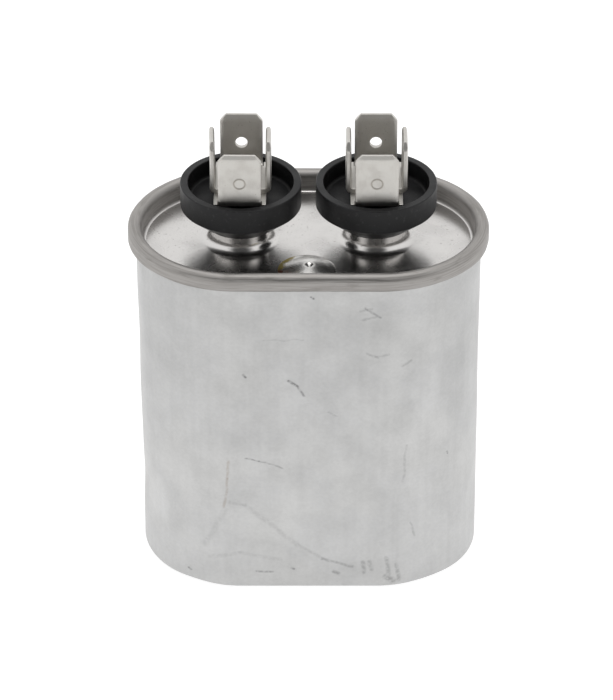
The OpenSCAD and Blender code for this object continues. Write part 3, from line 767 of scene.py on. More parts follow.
@dataclass(frozen=True)
class SolderMetal:
    """Solder: bright and slightly lumpy, with burnt flux round its edge.

    The mesh's own attributes "flux" and "burnt" say where the residue lies and where it
    is scorched.
    """

    base: Colour = (0.70, 0.69, 0.67)
    dull: Colour = (0.55, 0.54, 0.52)
    residue: Colour = (0.34, 0.27, 0.08)
    burnt: Colour = (0.16, 0.065, 0.04)
    roughness: float = 0.27
    stain_roughness: float = 0.45

    def material(self) -> Material:
        """Wires the finish and returns it."""
        paint = Paint("solder", 1, self.roughness)
        dull = paint.span(paint.noise(1.4 * MM, detail=4), 0.4, 0.65)
        tint = paint.mix(dull, self.base, self.dull)
        flux = paint.attribute("flux").outputs["Fac"]
        mottle = paint.span(paint.noise(0.7 * MM, detail=4, shift=3), 0.38, 0.6)
        burnt = paint.attribute("burnt").outputs["Fac"]
        patchy = paint.math("MULTIPLY", burnt, paint.span(mottle, 0, 1, 0.35, 1))
        spread = paint.span(paint.math("ADD", flux, paint.math("MULTIPLY", mottle, 0.25)), 0.45, 0.85)
        stain = paint.mix(paint.span(burnt, 0.1, 0.5), self.residue, self.burnt)
        spread = paint.math("MAXIMUM", spread, paint.math("MULTIPLY", patchy, 0.85))
        paint.link(paint.mix(spread, tint, stain), "Base Color")
        paint.link(paint.span(spread, 0, 1, self.roughness, self.stain_roughness), "Roughness")
        paint.link(paint.bump(paint.noise(0.5 * MM, detail=3, shift=5), 0.02 * MM), "Normal")
        return paint.material


@dataclass(frozen=True)
class PlainStuff:
    """A non-metal inside the can: board, rubber, film or moulding with its own grain."""

    name: str
    light: Colour
    dark: Colour
    roughness: float = 0.55
    size: float = 1.2 * MM
    stretch: Triple = (1, 1, 1)
    metallic: float = 0
    depth: float = 0.01 * MM

    def material(self) -> Material:
        """Wires the finish and returns it."""
        paint = Paint(self.name, self.metallic, self.roughness)
        clouds = paint.span(paint.noise(4 * self.size, self.stretch, detail=3), 0.35, 0.65)
        grain = paint.noise(self.size, self.stretch, detail=5, shift=4)
        tint = paint.mix(paint.span(grain, 0.35, 0.65), self.dark, self.light)
        paint.link(paint.mix(clouds, tint, self.light), "Base Color")
        paint.link(paint.span(grain, 0.3, 0.7, self.roughness - 0.06, self.roughness + 0.06), "Roughness")
        paint.link(paint.bump(grain, self.depth), "Normal")
        return paint.material


# ---------------------------------------------------------------- pieces


class Side(Enum):
    """Which of the two terminals, as the sign of its place along X."""

    LEFT = -1
    RIGHT = 1

    @property
    def word(self) -> str:
        """The side's name as the nodes have it."""
        return self.name.lower()


class Detent(Enum):
    """How a tab's detent is made."""

    HOLE = "hole"
    RING = "ring"


def dress(piece: Piece, material: Material, slot: str, *nodes: str) -> None:
    """Gives a finished piece its material and body, and hides what it replaces."""
    piece.data.materials.append(material)
    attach(piece, BODY)
    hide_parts(*nodes)
    LOG.info("%s: %d faces", piece.name, len(piece.data.polygons))


def middle(node: str) -> Pair:
    """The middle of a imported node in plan."""
    low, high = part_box(node)
    return (low.x + high.x) / 2, (low.y + high.y) / 2


@dataclass
class Rim:
    """The rolled seam's layers, which the can and the lid share."""

    half_straight: float
    can_r: float
    hook_top_z: float
    panel_z: float
    can_wall: float = 0.4 * MM
    lid_sheet: float = 0.35 * MM
    gap: float = 0.1 * MM
    chuck_gap: float = 0.03 * MM
    compound: float = 0.24 * MM
    height: float = 3.0 * MM
    foot_r: float = 0.6 * MM
    front_lift: float = 0.33 * MM
    lift_span: Pair = (5 * MM, 13 * MM)
    fold_span: Pair = (0.01 * MM, 0.09 * MM)

    @classmethod
    def from_frame(cls) -> "Rim":
        """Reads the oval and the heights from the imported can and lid."""
        low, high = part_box("can")
        lid_low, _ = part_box("lid")
        hook_reach = cls.can_wall + cls.lid_sheet + 2 * cls.gap
        depth = high.y - low.y
        return cls(half_straight=(high.x - low.x - depth) / 2, can_r=depth / 2 - hook_reach,
                   hook_top_z=high.z, panel_z=lid_low.z + cls.lid_sheet)

    def __post_init__(self) -> None:
        """Works out the turns of the seam from its layers."""
        self.can_inner_r = self.can_r - self.can_wall
        self.chuck_outer_r = self.can_inner_r - self.chuck_gap
        self.chuck_inner_r = self.chuck_outer_r - self.lid_sheet
        self.cover_hook_r = self.can_r + self.gap
        self.body_hook_r = self.cover_hook_r + self.lid_sheet + self.gap
        self.seaming_r = self.body_hook_r + self.can_wall + self.gap
        self.outer_r = self.seaming_r + self.lid_sheet
        self.crest_r = (self.chuck_inner_r + self.outer_r) / 2
        self.crest_out = (self.outer_r - self.chuck_inner_r) / 2
        self.body_turn_r = (self.can_inner_r + self.body_hook_r + self.can_wall) / 2
        self.body_turn_out = (self.body_hook_r + self.can_wall - self.can_inner_r) / 2
        self.body_turn_z = self.hook_top_z - self.body_turn_out
        self.crest_z = self.body_turn_z + self.compound
        self.top_z = self.crest_z + self.crest_out
        self.cover_turn_r = (self.cover_hook_r + self.outer_r) / 2
        self.cover_turn_out = (self.outer_r - self.cover_hook_r) / 2
        self.cover_turn_z = self.top_z - self.height + self.cover_turn_out
        self.foot_mid = self.chuck_inner_r - self.foot_r
        self.under_z = self.panel_z - self.lid_sheet
        self.track = Track.oval(self.half_straight)

    def spine(self, points: Array) -> Array:
        """Where along X the spine comes nearest to each point."""
        return np.clip(points[:, 0], -self.half_straight, self.half_straight)

    def away(self, points: Array) -> Array:
        """Unit vectors in plan from the spine to each point."""
        plan = points * (1, 1, 0)
        plan[:, 0] -= self.spine(points)
        return unit(plan)

    def reach(self, points: Array) -> Array:
        """Distance of each point from the spine in plan."""
        return np.hypot(points[:, 0] - self.spine(points), points[:, 1])

    def lift(self, points: Array) -> Array:
        """How far the folds at the seam's lower edge sit higher on the front, in metres.

        Formula: a smooth step towards the front times one from the hooks' upper turn down
        to their lower end; the can's own wall inside the folds stays.
        """
        front = smooth(-points[:, 1], *self.lift_span)
        low = 1 - smooth(points[:, 2], self.cover_turn_z, self.body_turn_z)
        folds = smooth(self.reach(points) - self.can_r, *self.fold_span)
        return self.front_lift * front * low * folds

    def lap(self, points: Array) -> Array:
        """Where each point lies round the oval, rolled up without a break.

        Formula: the arc length u round the oval at the can's radius becomes a point on a
        circle of the same length, and the third number is the way along the section, as
        height less distance.
        """
        spine = self.spine(points)
        angle = np.arctan2(points[:, 0] - spine, -points[:, 1])
        beyond = np.where(angle < 0, -2, 2) * self.half_straight - spine
        u = self.can_r * angle + np.where(points[:, 1] > 0, beyond, spine)
        circle_r = self.can_r + 2 * self.half_straight / math.pi
        return np.stack([circle_r * np.cos(u / circle_r), circle_r * np.sin(u / circle_r),
                         points[:, 2] - self.reach(points)], axis=1)


@dataclass
class CanBody:
    """The drawn can: flat bottom, rounded corner, long wall and the hook in the seam."""

    rim: Rim
    base: float = 0.4 * MM
    corner_r: float = 0.7 * MM
    wave: float = 0.06 * MM
    left_spread: float = 0.14 * MM
    left_squeeze: float = 0.15 * MM
    left_dent: float = 0.16 * MM
    right_spread: float = 0.2 * MM
    right_foot_spread: float = 0.08 * MM
    front_hollow: float = 0.25 * MM
    left_hollow: float = 0.08 * MM
    finish: CanAluminium = field(default_factory=CanAluminium)

    def outside(self) -> Section:
        """From the middle of the bottom, round the corner and up to the turn in the seam."""
        rim = self.rim
        outline = Section(0, 0)
        outline.to(rim.can_r - self.corner_r, 0, 10)
        outline.turn(rim.can_r - self.corner_r, self.corner_r, self.corner_r, -90, 0)
        return outline.to(rim.can_r, rim.body_turn_z, 104)

    def within(self) -> Section:
        """From there over the hook and back down inside to the middle of the floor."""
        rim = self.rim
        inner_corner = self.corner_r - self.base
        outline = Section(rim.can_r, rim.body_turn_z)
        outline.turn(rim.body_turn_r, rim.body_turn_z, rim.body_turn_out - rim.can_wall, 180, 0)
        outline.to(rim.body_hook_r, rim.cover_turn_z)
        outline.to(rim.body_hook_r + rim.can_wall, rim.cover_turn_z)
        outline.turn(rim.body_turn_r, rim.body_turn_z, rim.body_turn_out, 0, 180)
        outline.to(rim.can_inner_r, self.corner_r, 52)
        outline.turn(rim.can_inner_r - inner_corner, self.corner_r, inner_corner, 0, -90)
        return outline.to(0, self.base)

    def waves(self, points: Array) -> Array:
        """How far the wall stands out by its slow waves, in metres.

        Formula: two products of long sine waves along X and Z in centimetres, whose phase
        turns smoothly from the front to the back, faded out above the bottom corner and
        below the seam.
        """
        x, y, z = (points / (10 * MM)).T
        side = 0.9 * (2 * smooth(y, -0.8, 0.8) - 1)
        waves = 0.6 * np.sin(1.9 * x + 0.8 * z + side) * np.sin(1.3 * z - 0.5 * x + 1.1)
        waves += 0.4 * np.sin(3.4 * x - 1.1 * z + 2 * side) * np.sin(2.2 * z + 0.6)
        return self.wave * waves * smooth(z, 0.15, 0.9) * (1 - smooth(z, 4.4, 5.15))

    def knocks(self, points: Array) -> Array:
        """How far the outside stands out where the used can is pushed in or spread.

        Formula: smooth steps and bells of the height in millimetres on each round end, and
        a hollow across the front's lower corners, all times a fade towards the seam and
        towards the middle of the bottom.
        """
        x, y, z = points.T / MM
        across = np.abs(x)
        left = self.left_spread * smooth(z, 36, 47) - self.left_squeeze * (1 - smooth(z, 16, 32))
        left -= self.left_dent * np.exp(-(((z - 12) / 3.5) ** 2))
        right = self.right_spread + self.right_foot_spread * (1 - smooth(z, 10, 30))
        ends = np.where(x < 0, left, right) * smooth(across, 19, 25)
        hollow = self.front_hollow + self.left_hollow * smooth(-x, 12, 18)
        hollow *= np.exp(-(((across - 17.5) / 4) ** 2)) * (1 - smooth(z, 8, 34)) * smooth(-y, 0, 8)
        fade = (1 - smooth(z, 50.5, 52.8)) * smooth(self.rim.reach(points) / MM, 4, 13.5)
        return (ends - hollow) * fade

    def build(self) -> None:
        """Builds and dresses the can."""
        surface, inner = Surface(), Surface()
        carry(surface, self.outside(), self.rim.track)
        surface.ripple(lambda points: self.waves(points) + self.knocks(points), self.rim.away)
        carry(inner, self.within(), self.rim.track)
        inner.ripple(self.waves, self.rim.away)
        inner.ripple(self.rim.lift, upwards)
        surface.patches += inner.patches
        dress(surface.build("can_body"), self.finish.material(), "can_aluminium", "can")


@dataclass
class SeamedLid:
    """The lid: sunk panel, two drawn bosses, filling hole, chuck wall and rolled seam."""

    rim: Rim
    finish: LidTinplate = field(default_factory=LidTinplate)
    boss_r: float = 4.2 * MM
    flare_r: float = 1.6 * MM
    ledge: float = 0.02 * MM
    top_r: float = 0.7 * MM
    spigot_hole_r: float = 2.58 * MM
    fill_r: float = 0.8 * MM
    grid_step: float = 1.4 * MM
    wave: float = 0.008 * MM
    foot_fade: float = 3 * MM
    boss_fade: float = 2.5 * MM
    chatter_wave: float = 0.02 * MM

    def __post_init__(self) -> None:
        """Reads the bosses' places and the filling hole's from the frame."""
        self.top_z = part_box("left_sealing_bushing")[1].z + self.rim.lid_sheet
        self.flare_mid = self.boss_r + self.ledge + self.flare_r
        self.boss_x = [middle(f"{side.word}_insulating_cup")[0] for side in Side]
        self.fill_at = middle("fill_hole_solder")

    def edge_section(self) -> Section:
        """From the panel's underside, out over the seam and back to the panel's top."""
        rim = self.rim
        foot_z = rim.panel_z + rim.foot_r
        outline = Section(rim.foot_mid, rim.under_z)
        outline.turn(rim.foot_mid, foot_z, rim.foot_r + rim.lid_sheet, -90, 0)
        outline.turn(rim.crest_r, rim.crest_z, rim.crest_out - rim.lid_sheet, 180, 0)
        outline.turn(rim.cover_turn_r, rim.cover_turn_z, rim.cover_turn_out - rim.lid_sheet, 0, -180)
        outline.to(rim.cover_hook_r + rim.lid_sheet, rim.body_turn_z)
        outline.to(rim.cover_hook_r, rim.body_turn_z)
        outline.turn(rim.cover_turn_r, rim.cover_turn_z, rim.cover_turn_out, -180, 0, 20)
        outline.to(rim.outer_r, rim.crest_z, 3)
        outline.turn(rim.crest_r, rim.crest_z, rim.crest_out, 0, 180, 28)
        outline.to(rim.chuck_inner_r, foot_z, 3)
        return outline.turn(rim.foot_mid, foot_z, rim.foot_r, 0, -90, 12)

    def boss_section(self) -> Section:
        """From the panel's top, up over a boss and back down to the panel's underside."""
        rim = self.rim
        sheet = rim.lid_sheet
        flare_z = rim.panel_z + self.flare_r
        neck = self.boss_r - self.top_r
        outline = Section(self.flare_mid, rim.panel_z)
        outline.turn(self.flare_mid, flare_z, self.flare_r, -90, -180, 12)
        outline.to(self.boss_r + self.ledge, flare_z + self.ledge)
        outline.to(self.boss_r, flare_z + self.ledge)
        outline.turn(neck, self.top_z - self.top_r, self.top_r, 0, 90)
        outline.to(self.spigot_hole_r, self.top_z)
        outline.to(self.spigot_hole_r, self.top_z - sheet)
        outline.turn(neck, self.top_z - self.top_r, self.top_r - sheet, 90, 0)
        outline.to(self.boss_r - sheet, flare_z)
        return outline.turn(self.flare_mid, flare_z, self.flare_r + sheet, -180, -90, 12)

    def panel(self, surface: Surface, bosses: list[Track], fill: Track) -> None:
        """Paves the flat panel, top and underside, between the seam's foot and the bosses."""
        rim = self.rim
        edge = rim.half_straight + rim.foot_mid
        across = np.arange(-edge, edge, self.grid_step)
        extra = grid(across, across)
        holes = [boss.ring(self.flare_mid) for boss in bosses] + [fill.ring(self.fill_r)]
        flat, corners = pave(rim.track.ring(rim.foot_mid), holes, extra, 0.5 * self.grid_step)
        for z, up in ((rim.panel_z, 1.0), (rim.under_z, -1.0)):
            points = np.column_stack([flat, np.full(len(flat), z)])
            normals = np.broadcast_to([0.0, 0.0, up], (*corners.shape, 3)).copy()
            surface.add(points, corners, normals)

    def waves(self, points: Array) -> Array:
        """Unevenness of the sheet: slow waves in the panel, none at the bosses and the foot.

        Formula: three sine waves in plan, their phase in radians a metre, times a fade with
        the distance from the panel's edge and from each boss.
        """
        x, y, z = points.T
        rim = self.rim
        fade = 1 - smooth(rim.reach(points), rim.foot_mid - self.foot_fade, rim.foot_mid)
        for boss_x in self.boss_x:
            apart = np.hypot(x - boss_x, y)
            fade = fade * smooth(apart, self.flare_mid, self.flare_mid + self.boss_fade)
        waves = np.sin(520 * x + 210 * y) + np.sin(390 * y - 300 * x + 1.3)
        waves += np.sin(610 * x - 450 * y + 0.4)
        flat = np.abs(z - rim.panel_z) < rim.lid_sheet + 0.01 * MM
        return self.wave * waves * fade * flat

    def chatter(self, points: Array) -> Array:
        """Unevenness that the seaming roll leaves, only ever inwards, in metres.

        Formula: waves round the oval on the outer half of the seam.
        """
        lap = self.rim.lap(points)
        u = np.arctan2(lap[:, 1], lap[:, 0])
        outer = smooth(self.rim.reach(points), self.rim.crest_r, self.rim.seaming_r)
        waves = 2 + np.sin(9 * u + 0.5) + 0.6 * np.sin(23 * u) + 0.4 * np.sin(57 * u + 1)
        return -self.chatter_wave * waves * outer

    def build(self) -> None:
        """Builds and dresses the lid."""
        surface = Surface()
        bosses = [Track.circle(x, 0) for x in self.boss_x]
        fill = Track.circle(*self.fill_at, 32)
        carry(surface, self.edge_section(), self.rim.track)
        for boss in bosses:
            carry(surface, self.boss_section(), boss)
        hole = Section(self.fill_r, self.rim.panel_z).to(self.fill_r, self.rim.under_z)
        carry(surface, hole, fill)
        self.panel(surface, bosses, fill)
        surface.ripple(self.waves, upwards)
        surface.ripple(self.rim.lift, upwards)
        surface.ripple(self.chatter, self.rim.away)
        piece = surface.build("lid_and_seam")
        points = vertices(piece)
        store(piece, "reach", self.rim.reach(points))
        store(piece, "lap", self.rim.lap(points))
        dress(piece, self.finish.material(), "lid_tinplate", "lid")


def vertices(piece: Piece) -> Array:
    """The piece's vertices as rows of points."""
    points = np.empty(3 * len(piece.data.vertices), np.float32)
    piece.data.vertices.foreach_get("co", points)
    return points.reshape(-1, 3).astype(float)


def store(piece: Piece, name: str, values: Array) -> None:
    """Writes one number or one vector for each vertex as an attribute of the mesh."""
    kind, key = ("FLOAT", "value") if values.ndim == 1 else ("FLOAT_VECTOR", "vector")
    attribute = piece.data.attributes.new(name, kind, "POINT")
    attribute.data.foreach_set(key, values.astype(np.float32).ravel())


@dataclass
class SolderDome:
    """The blob of solder that seals the filling hole, with its blow hole and plug."""

    rim: Rim
    finish: SolderMetal = field(default_factory=SolderMetal)
    edge: float = 0.12 * MM
    plug_r: float = 0.78 * MM
    pit_r: float = 0.4 * MM
    pit_depth: float = 0.4 * MM
    pit_shift: float = 0.35 * MM
    moat_depth: float = 0.06 * MM
    wave: float = 0.05 * MM

    def __post_init__(self) -> None:
        """Reads the dome's place and size from the frame."""
        low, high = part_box("fill_hole_solder")
        self.x, self.y = middle("fill_hole_solder")
        self.r = (high.x - low.x) / 2
        self.top_z = high.z

    def section(self) -> Section:
        """From the bottom of the plug, out under the dome, up its edge and over its top."""
        rim = self.rim
        cap = self.top_z - rim.panel_z - self.edge
        curve = (self.r ** 2 + cap ** 2) / (2 * cap)
        foot = math.degrees(math.asin(self.r / curve))
        outline = Section(0, rim.under_z)
        outline.to(self.plug_r, rim.under_z)
        outline.to(self.plug_r, rim.panel_z)
        outline.to(self.r, rim.panel_z, 2)
        outline.to(self.r, rim.panel_z + self.edge)
        return outline.turn(0, self.top_z - curve, curve, 90 - foot, 90, 40)

    def lumps(self, points: Array) -> Array:
        """How far the solder's top stands off its even dome, in metres, mostly downwards.

        Formula: slow waves in plan, less a round pit a little off the middle and a shallow
        moat round it, all faded out at the edge.
        """
        x, y = points[:, 0] - self.x, points[:, 1] - self.y
        r = np.hypot(x, y)
        top = smooth(points[:, 2], self.rim.panel_z + 0.5 * self.edge, self.rim.panel_z + self.edge)
        waves = self.wave * (np.sin(900 * x + 400 * y) + np.sin(700 * y - 500 * x + 1) - 2)
        pit = np.hypot(x - self.pit_shift, y - self.pit_shift) / self.pit_r
        hollow = self.pit_depth * np.exp(-(pit ** 2)) + self.moat_depth * np.exp(-((pit / 4) ** 2))
        fade = 1 - smooth(r, 0.75 * self.r, self.r)
        return (waves * fade - hollow) * top

    def build(self) -> None:
        """Builds and dresses the solder."""
        surface = Surface()
        carry(surface, self.section(), Track.circle(self.x, self.y, 72))
        surface.ripple(self.lumps, upwards)
        piece = surface.build("filling_hole_solder")
        x, y = (vertices(piece)[:, :2] - (self.x, self.y)).T / self.r
        store(piece, "flux", np.clip(-x - 0.15 + 0.2 * y, 0, 1) * smooth(np.hypot(x, y), 0.45, 0.95))
        store(piece, "burnt", smooth(-x, 0.15, 0.75) * smooth(-y, -0.15, 0.35))
        dress(piece, self.finish.material(), "solder", "fill_hole_solder")


@dataclass
class InsulatingCup:
    """A black cup with a hub for the strips and a spigot through the boss."""

    side: Side
    finish: Material
    wall: float = 1.15 * MM
    wall_height: float = 3.7 * MM
    floor: float = 0.9 * MM
    taper: float = 3.1 * MM
    foot_r: float = 5.3 * MM
    fillet: float = 0.55 * MM
    hub_r: float = 3.4 * MM
    hub_height: float = 1.7 * MM
    spigot_r: float = 2.5 * MM
    bore_r: float = 1.25 * MM
    round_r: float = 0.16 * MM

    def section(self) -> Section:
        """The cup's closed outline."""
        low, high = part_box(f"{self.side.word}_insulating_cup")
        wall_z = high.z - self.wall_height
        foot_z = wall_z - self.taper
        outer_r = (high.x - low.x) / 2
        inner_r = outer_r - self.wall
        floor_z = wall_z + self.floor
        hub_z = floor_z + self.hub_height
        soft = self.round_r
        slope = math.degrees(math.atan2(self.taper, outer_r - self.foot_r))
        bend = soft * math.tan(math.radians((90 - slope) / 2))
        outline = Section(self.bore_r, low.z)
        outline.to(self.spigot_r, low.z)
        outline.to(self.spigot_r, foot_z)
        heel_r = self.foot_r - soft * math.tan(math.radians(slope / 2))
        outline.turn(heel_r, foot_z + soft, soft, -90, slope - 90, 4)
        outline.turn(outer_r - soft, wall_z + bend, soft, slope - 90, 0, 4)
        outline.turn(outer_r - soft, high.z - soft, soft, 0, 90, 6)
        outline.turn(inner_r + soft, high.z - soft, soft, 90, 180, 6)
        outline.turn(inner_r - self.fillet, floor_z + self.fillet, self.fillet, 0, -90, 8)
        outline.turn(self.hub_r + soft, floor_z + soft, soft, -90, -180, 4)
        outline.turn(self.hub_r - soft, hub_z - soft, soft, 0, 90, 4)
        outline.to(self.bore_r, hub_z)
        return outline.to(self.bore_r, low.z)

    def build(self) -> None:
        """Builds and dresses the cup."""
        node = f"{self.side.word}_insulating_cup"
        surface = Surface()
        carry(surface, self.section(), Track.circle(middle(node)[0], 0, 128))
        dress(surface.build(f"{self.side.word}_cup"), self.finish, "cup_plastic", node)


@dataclass
class TerminalRivet:
    """The rivet that holds the strips, the cup and the seal together."""

    side: Side
    finish: Material
    shank_r: float = 1.2 * MM
    head: float = 0.85 * MM
    tail_r: float = 1.92 * MM
    tail: float = 0.6 * MM

    def build(self) -> None:
        """Builds and dresses the rivet: tail disc, shank and a head that is a cap of a ball."""
        node = f"{self.side.word}_rivet"
        low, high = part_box(node)
        head_r = (high.x - low.x) / 2
        curve = (head_r ** 2 + self.head ** 2) / (2 * self.head)
        foot = math.degrees(math.asin(head_r / curve))
        outline = Section(0, low.z)
        outline.to(self.tail_r, low.z)
        outline.to(self.tail_r, low.z + self.tail)
        outline.to(self.shank_r, low.z + self.tail)
        outline.to(self.shank_r, high.z - self.head)
        outline.to(head_r, high.z - self.head)
        outline.turn(0, high.z - curve, curve, 90 - foot, 90, 12)
        surface = Surface()
        carry(surface, outline, Track.circle(middle(node)[0], 0, 64))
        dress(surface.build(f"{self.side.word}_terminal_rivet"), self.finish, "rivet_metal", node)


@dataclass(frozen=True)
class Rounded:
    """A closed outline in the plane of a blank, and the directions out of the metal."""

    points: Array
    out: Array

    ARC_POINTS: ClassVar[int] = 5

    @staticmethod
    def polygon(corners: list[Pair], convex: float, hollow: float,
                step: float) -> "Rounded":
        """A polygon with each corner rounded and its sides divided.

        Formula: at a corner the normal turns evenly from one side's to the next one's, and
        the point is the arc's centre plus or minus the radius along it.

        Args:
            corners: Corners, counter-clockwise.
            convex: Radius at the corners that stick out.
            hollow: Radius at the corners that reach in.
            step: Longest step along a side.

        Returns:
            The outline.
        """
        place = np.array(corners)
        ahead = unit(np.roll(place, -1, axis=0) - place)
        arcs = []
        for number, corner in enumerate(place):
            way_in, way_out = ahead[number - 1], ahead[number]
            turn = math.atan2(way_in[0] * way_out[1] - way_in[1] * way_out[0], way_in @ way_out)
            sign, radius = (1, convex) if turn > 0 else (-1, hollow)
            start = corner - radius * math.tan(abs(turn) / 2) * way_in
            centre = start + sign * radius * np.array([-way_in[1], way_in[0]])
            angle = math.atan2(-way_in[0], way_in[1]) + np.linspace(0, turn, Rounded.ARC_POINTS)
            normal = np.stack([np.cos(angle), np.sin(angle)], axis=1)
            arcs.append((centre + sign * radius * normal, normal))
        points, normals = [], []
        for (arc, normal), (after, _) in zip(arcs, arcs[1:] + arcs[:1]):
            side = after[0] - arc[-1]
            count = max(1, math.ceil(np.linalg.norm(side) / step))
            share = np.linspace(0, 1, count + 1)[1:-1, None]
            points += [arc, arc[-1] + share * side]
            normals += [normal, np.broadcast_to(normal[-1], (len(share), 2))]
        return Rounded(np.concatenate(points), np.concatenate(normals))

    @staticmethod
    def hole(s: float, w: float, radius: float, steps: int = 40) -> "Rounded":
        """A round hole; out of the metal is towards its centre."""
        angle = np.linspace(0, 2 * math.pi, steps, endpoint=False)
        away = np.stack([np.cos(angle), np.sin(angle)], axis=1)
        return Rounded(np.array([s, w]) + radius * away, -away)

    def inset(self, distance: float) -> Array:
        """The outline moved into the metal by a distance."""
        return self.points - distance * self.out


@dataclass(frozen=True)
class Blade:
    """One end of a strip: its detent, and how far it stands off square."""

    detent: Detent
    lean: float = 0.0
    twist: float = 0.0


@dataclass
class FoldedStrip:
    """A terminal strip: a flat blank with two blades, folded up at both ends.

    A point of the blank is s along the strip and w across it. Folding keeps w, lays the
    middle of the strip flat and rolls its ends up round the bends. STEP is the step of the
    central differences.
    """

    STEP: ClassVar[float] = 0.01 * MM

    name: str
    node: str
    slot: str
    finish: Material
    heading: float
    blades: tuple[Blade, Blade]
    bend_r: float
    ears: bool
    yaw: float = 0.0
    width: float = 6.35 * MM
    sheet: float = 0.81 * MM
    ear_width: float = 0.68 * MM
    ear_slit: float = 0.08 * MM
    ear_setback: float = 0.305 * MM
    tip_cut_s: float = 1.1 * MM
    tip_cut_w: float = 0.9 * MM
    tip_bevel: float = 0.7 * MM
    tip_sheet: float = 0.4 * MM
    edge_bevel: float = 0.45 * MM
    edge_sheet: float = 0.5 * MM
    detent_r: float = 0.9 * MM
    detent_drop: float = 4.7 * MM
    ring_width: float = 0.3 * MM
    ring_depth: float = 0.035 * MM
    rivet_hole_r: float = 1.25 * MM
    edge_r: float = 0.09 * MM
    short: float = 0.01 * MM
    divisions: float = 0.45 * MM
    paving_gap: float = 0.13 * MM
    detent_clear: float = 0.25 * MM
    thinning: Pair = (-0.3 * MM, 0.5 * MM)
    twist_run: float = 3 * MM

    def __post_init__(self) -> None:
        """Reads the strip's place from the frame and works out the lengths of the blank."""
        low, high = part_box(self.node)
        span = high.x - low.x if abs(math.sin(self.heading)) > 0.5 else high.y - low.y
        self.centre = np.array([*middle(self.node), 0])
        cos, sin = math.cos(self.heading + self.yaw), math.sin(self.heading + self.yaw)
        self.spin = np.array([[cos, sin, 0], [-sin, cos, 0], [0, 0, 1]])
        self.mid_z = low.z + self.sheet / 2
        self.flat = span / 2 - self.bend_r
        self.bend = self.bend_r - self.sheet / 2
        self.blade_length = high.z - low.z - self.bend_r - self.short
        self.arc = self.bend * math.pi / 2
        self.length = self.flat + self.arc + self.blade_length
        self.half = self.width / 2
        self.detent_s = self.length - self.detent_drop

    def outline(self) -> Rounded:
        """The blank's outer edge, counter-clockwise: blades with cut corners, and ears."""
        tip, half = self.length, self.half
        quarter = [(tip, half - self.tip_cut_w), (tip - self.tip_cut_s, half)]
        if self.ears:
            ear_end = self.flat + self.bend_r - self.ear_setback
            ear_in, ear_out = half + self.ear_slit, half + self.ear_width
            quarter += [(self.flat, half), (self.flat, ear_in), (ear_end, ear_in), (ear_end, ear_out)]
        top = quarter + [(-s, w) for s, w in quarter[::-1]]
        loop = top + [(-s, -w) for s, w in top]
        return Rounded.polygon(loop, 1.3 * self.edge_r, 0.45 * self.ear_slit, self.divisions)

    def half_sheet(self, points: Array, front: bool) -> Array:
        """Half the metal's thickness at points of the blank.

        Formula: half the sheet, less the larger of two ramps: one across the last stretch
        before a long edge of a blade and one before its tip. The first sets in smoothly
        where the blade leaves its bend. A stamped ring is cut from the outer face.

        Args:
            points: Rows of s and w.
            front: Whether to take the face that the ring is stamped into.

        Returns:
            The half thickness at each point.
        """
        s, w = np.abs(points[:, 0]), np.abs(points[:, 1])
        on_blade = smooth(s - self.flat - self.arc, *self.thinning)
        side = np.clip((w - self.half + self.edge_bevel) / self.edge_bevel, 0, 1)
        side = side * (self.sheet - self.edge_sheet) / 2 * on_blade
        tip = np.clip((s - self.length + self.tip_bevel) / self.tip_bevel, 0, 1)
        tip = tip * (self.sheet - self.tip_sheet) / 2
        thick = self.sheet / 2 - np.maximum(side, tip)
        if front:
            for end, blade in zip((-1, 1), self.blades):
                if blade.detent is Detent.RING:
                    thick = thick - self.ring_depth * self.stamp(points, end)
        return thick

    def stamp(self, points: Array, end: int) -> Array:
        """How deep a point of the blank lies in the stamped ring at one end, from 0 to 1; the same share
        also paints the ring's shade.

        Formula: a bell over the distance from the ring's middle line.
        """
        r = np.hypot(points[:, 0] - end * self.detent_s, points[:, 1])
        middle = self.detent_r - self.ring_width / 4
        return np.exp(-(((r - middle) / (0.36 * self.ring_width)) ** 2))

    def frames(self, points: Array) -> tuple[Array, Array, Array, Array]:
        """The middle surface of the folded strip at points of the blank.

        Formula: beyond the flat middle the strip turns by a = (|s| - flat) / bend up to its
        full angle, then runs straight. Ears stay in the flat plane. A twist turns the
        blade's width and normal about its own length.

        Args:
            points: Rows of s and w.

        Returns:
            Places, directions along the strip, directions across it, and normals.
        """
        s, w = points.T
        end = np.where(s < 0, -1.0, 1.0)
        far = np.abs(s)
        lean = np.where(s < 0, self.blades[0].lean, self.blades[1].lean)
        twist = np.where(s < 0, self.blades[0].twist, self.blades[1].twist)
        full = math.pi / 2 - lean
        ear = self.ears & (np.abs(w) > self.half + self.ear_slit / 2)
        angle = np.where(ear, 0, np.clip((far - self.flat) / self.bend, 0, full))
        past = np.where(ear, far - self.flat, np.maximum(far - self.flat - self.bend * full, 0))
        base = np.where(ear, self.flat, np.minimum(far, self.flat))
        run = base + self.bend * np.sin(angle) + past * np.cos(angle)
        rise = self.bend * (1 - np.cos(angle)) + past * np.sin(angle)
        zero = np.zeros_like(s)
        along = np.stack([zero, np.cos(angle), end * np.sin(angle)], axis=1)
        across = np.stack([zero + 1, zero, zero], axis=1)
        normal = np.stack([zero, -end * np.sin(angle), np.cos(angle)], axis=1)
        turn = (twist * smooth(past, 0, self.twist_run) * ~ear)[:, None]
        across, normal = (across * np.cos(turn) + normal * np.sin(turn),
                          normal * np.cos(turn) - across * np.sin(turn))
        place = np.stack([zero, end * run, self.mid_z + rise], axis=1) + w[:, None] * across
        return place, along, across, normal

    def add(self, surface: Surface, points: Array, corners: Array, normals: Array) -> None:
        """Adds a patch in the strip's own axes, turned to its heading at its terminal."""
        surface.add(points @ self.spin + self.centre, corners, (normals @ self.spin)[corners])

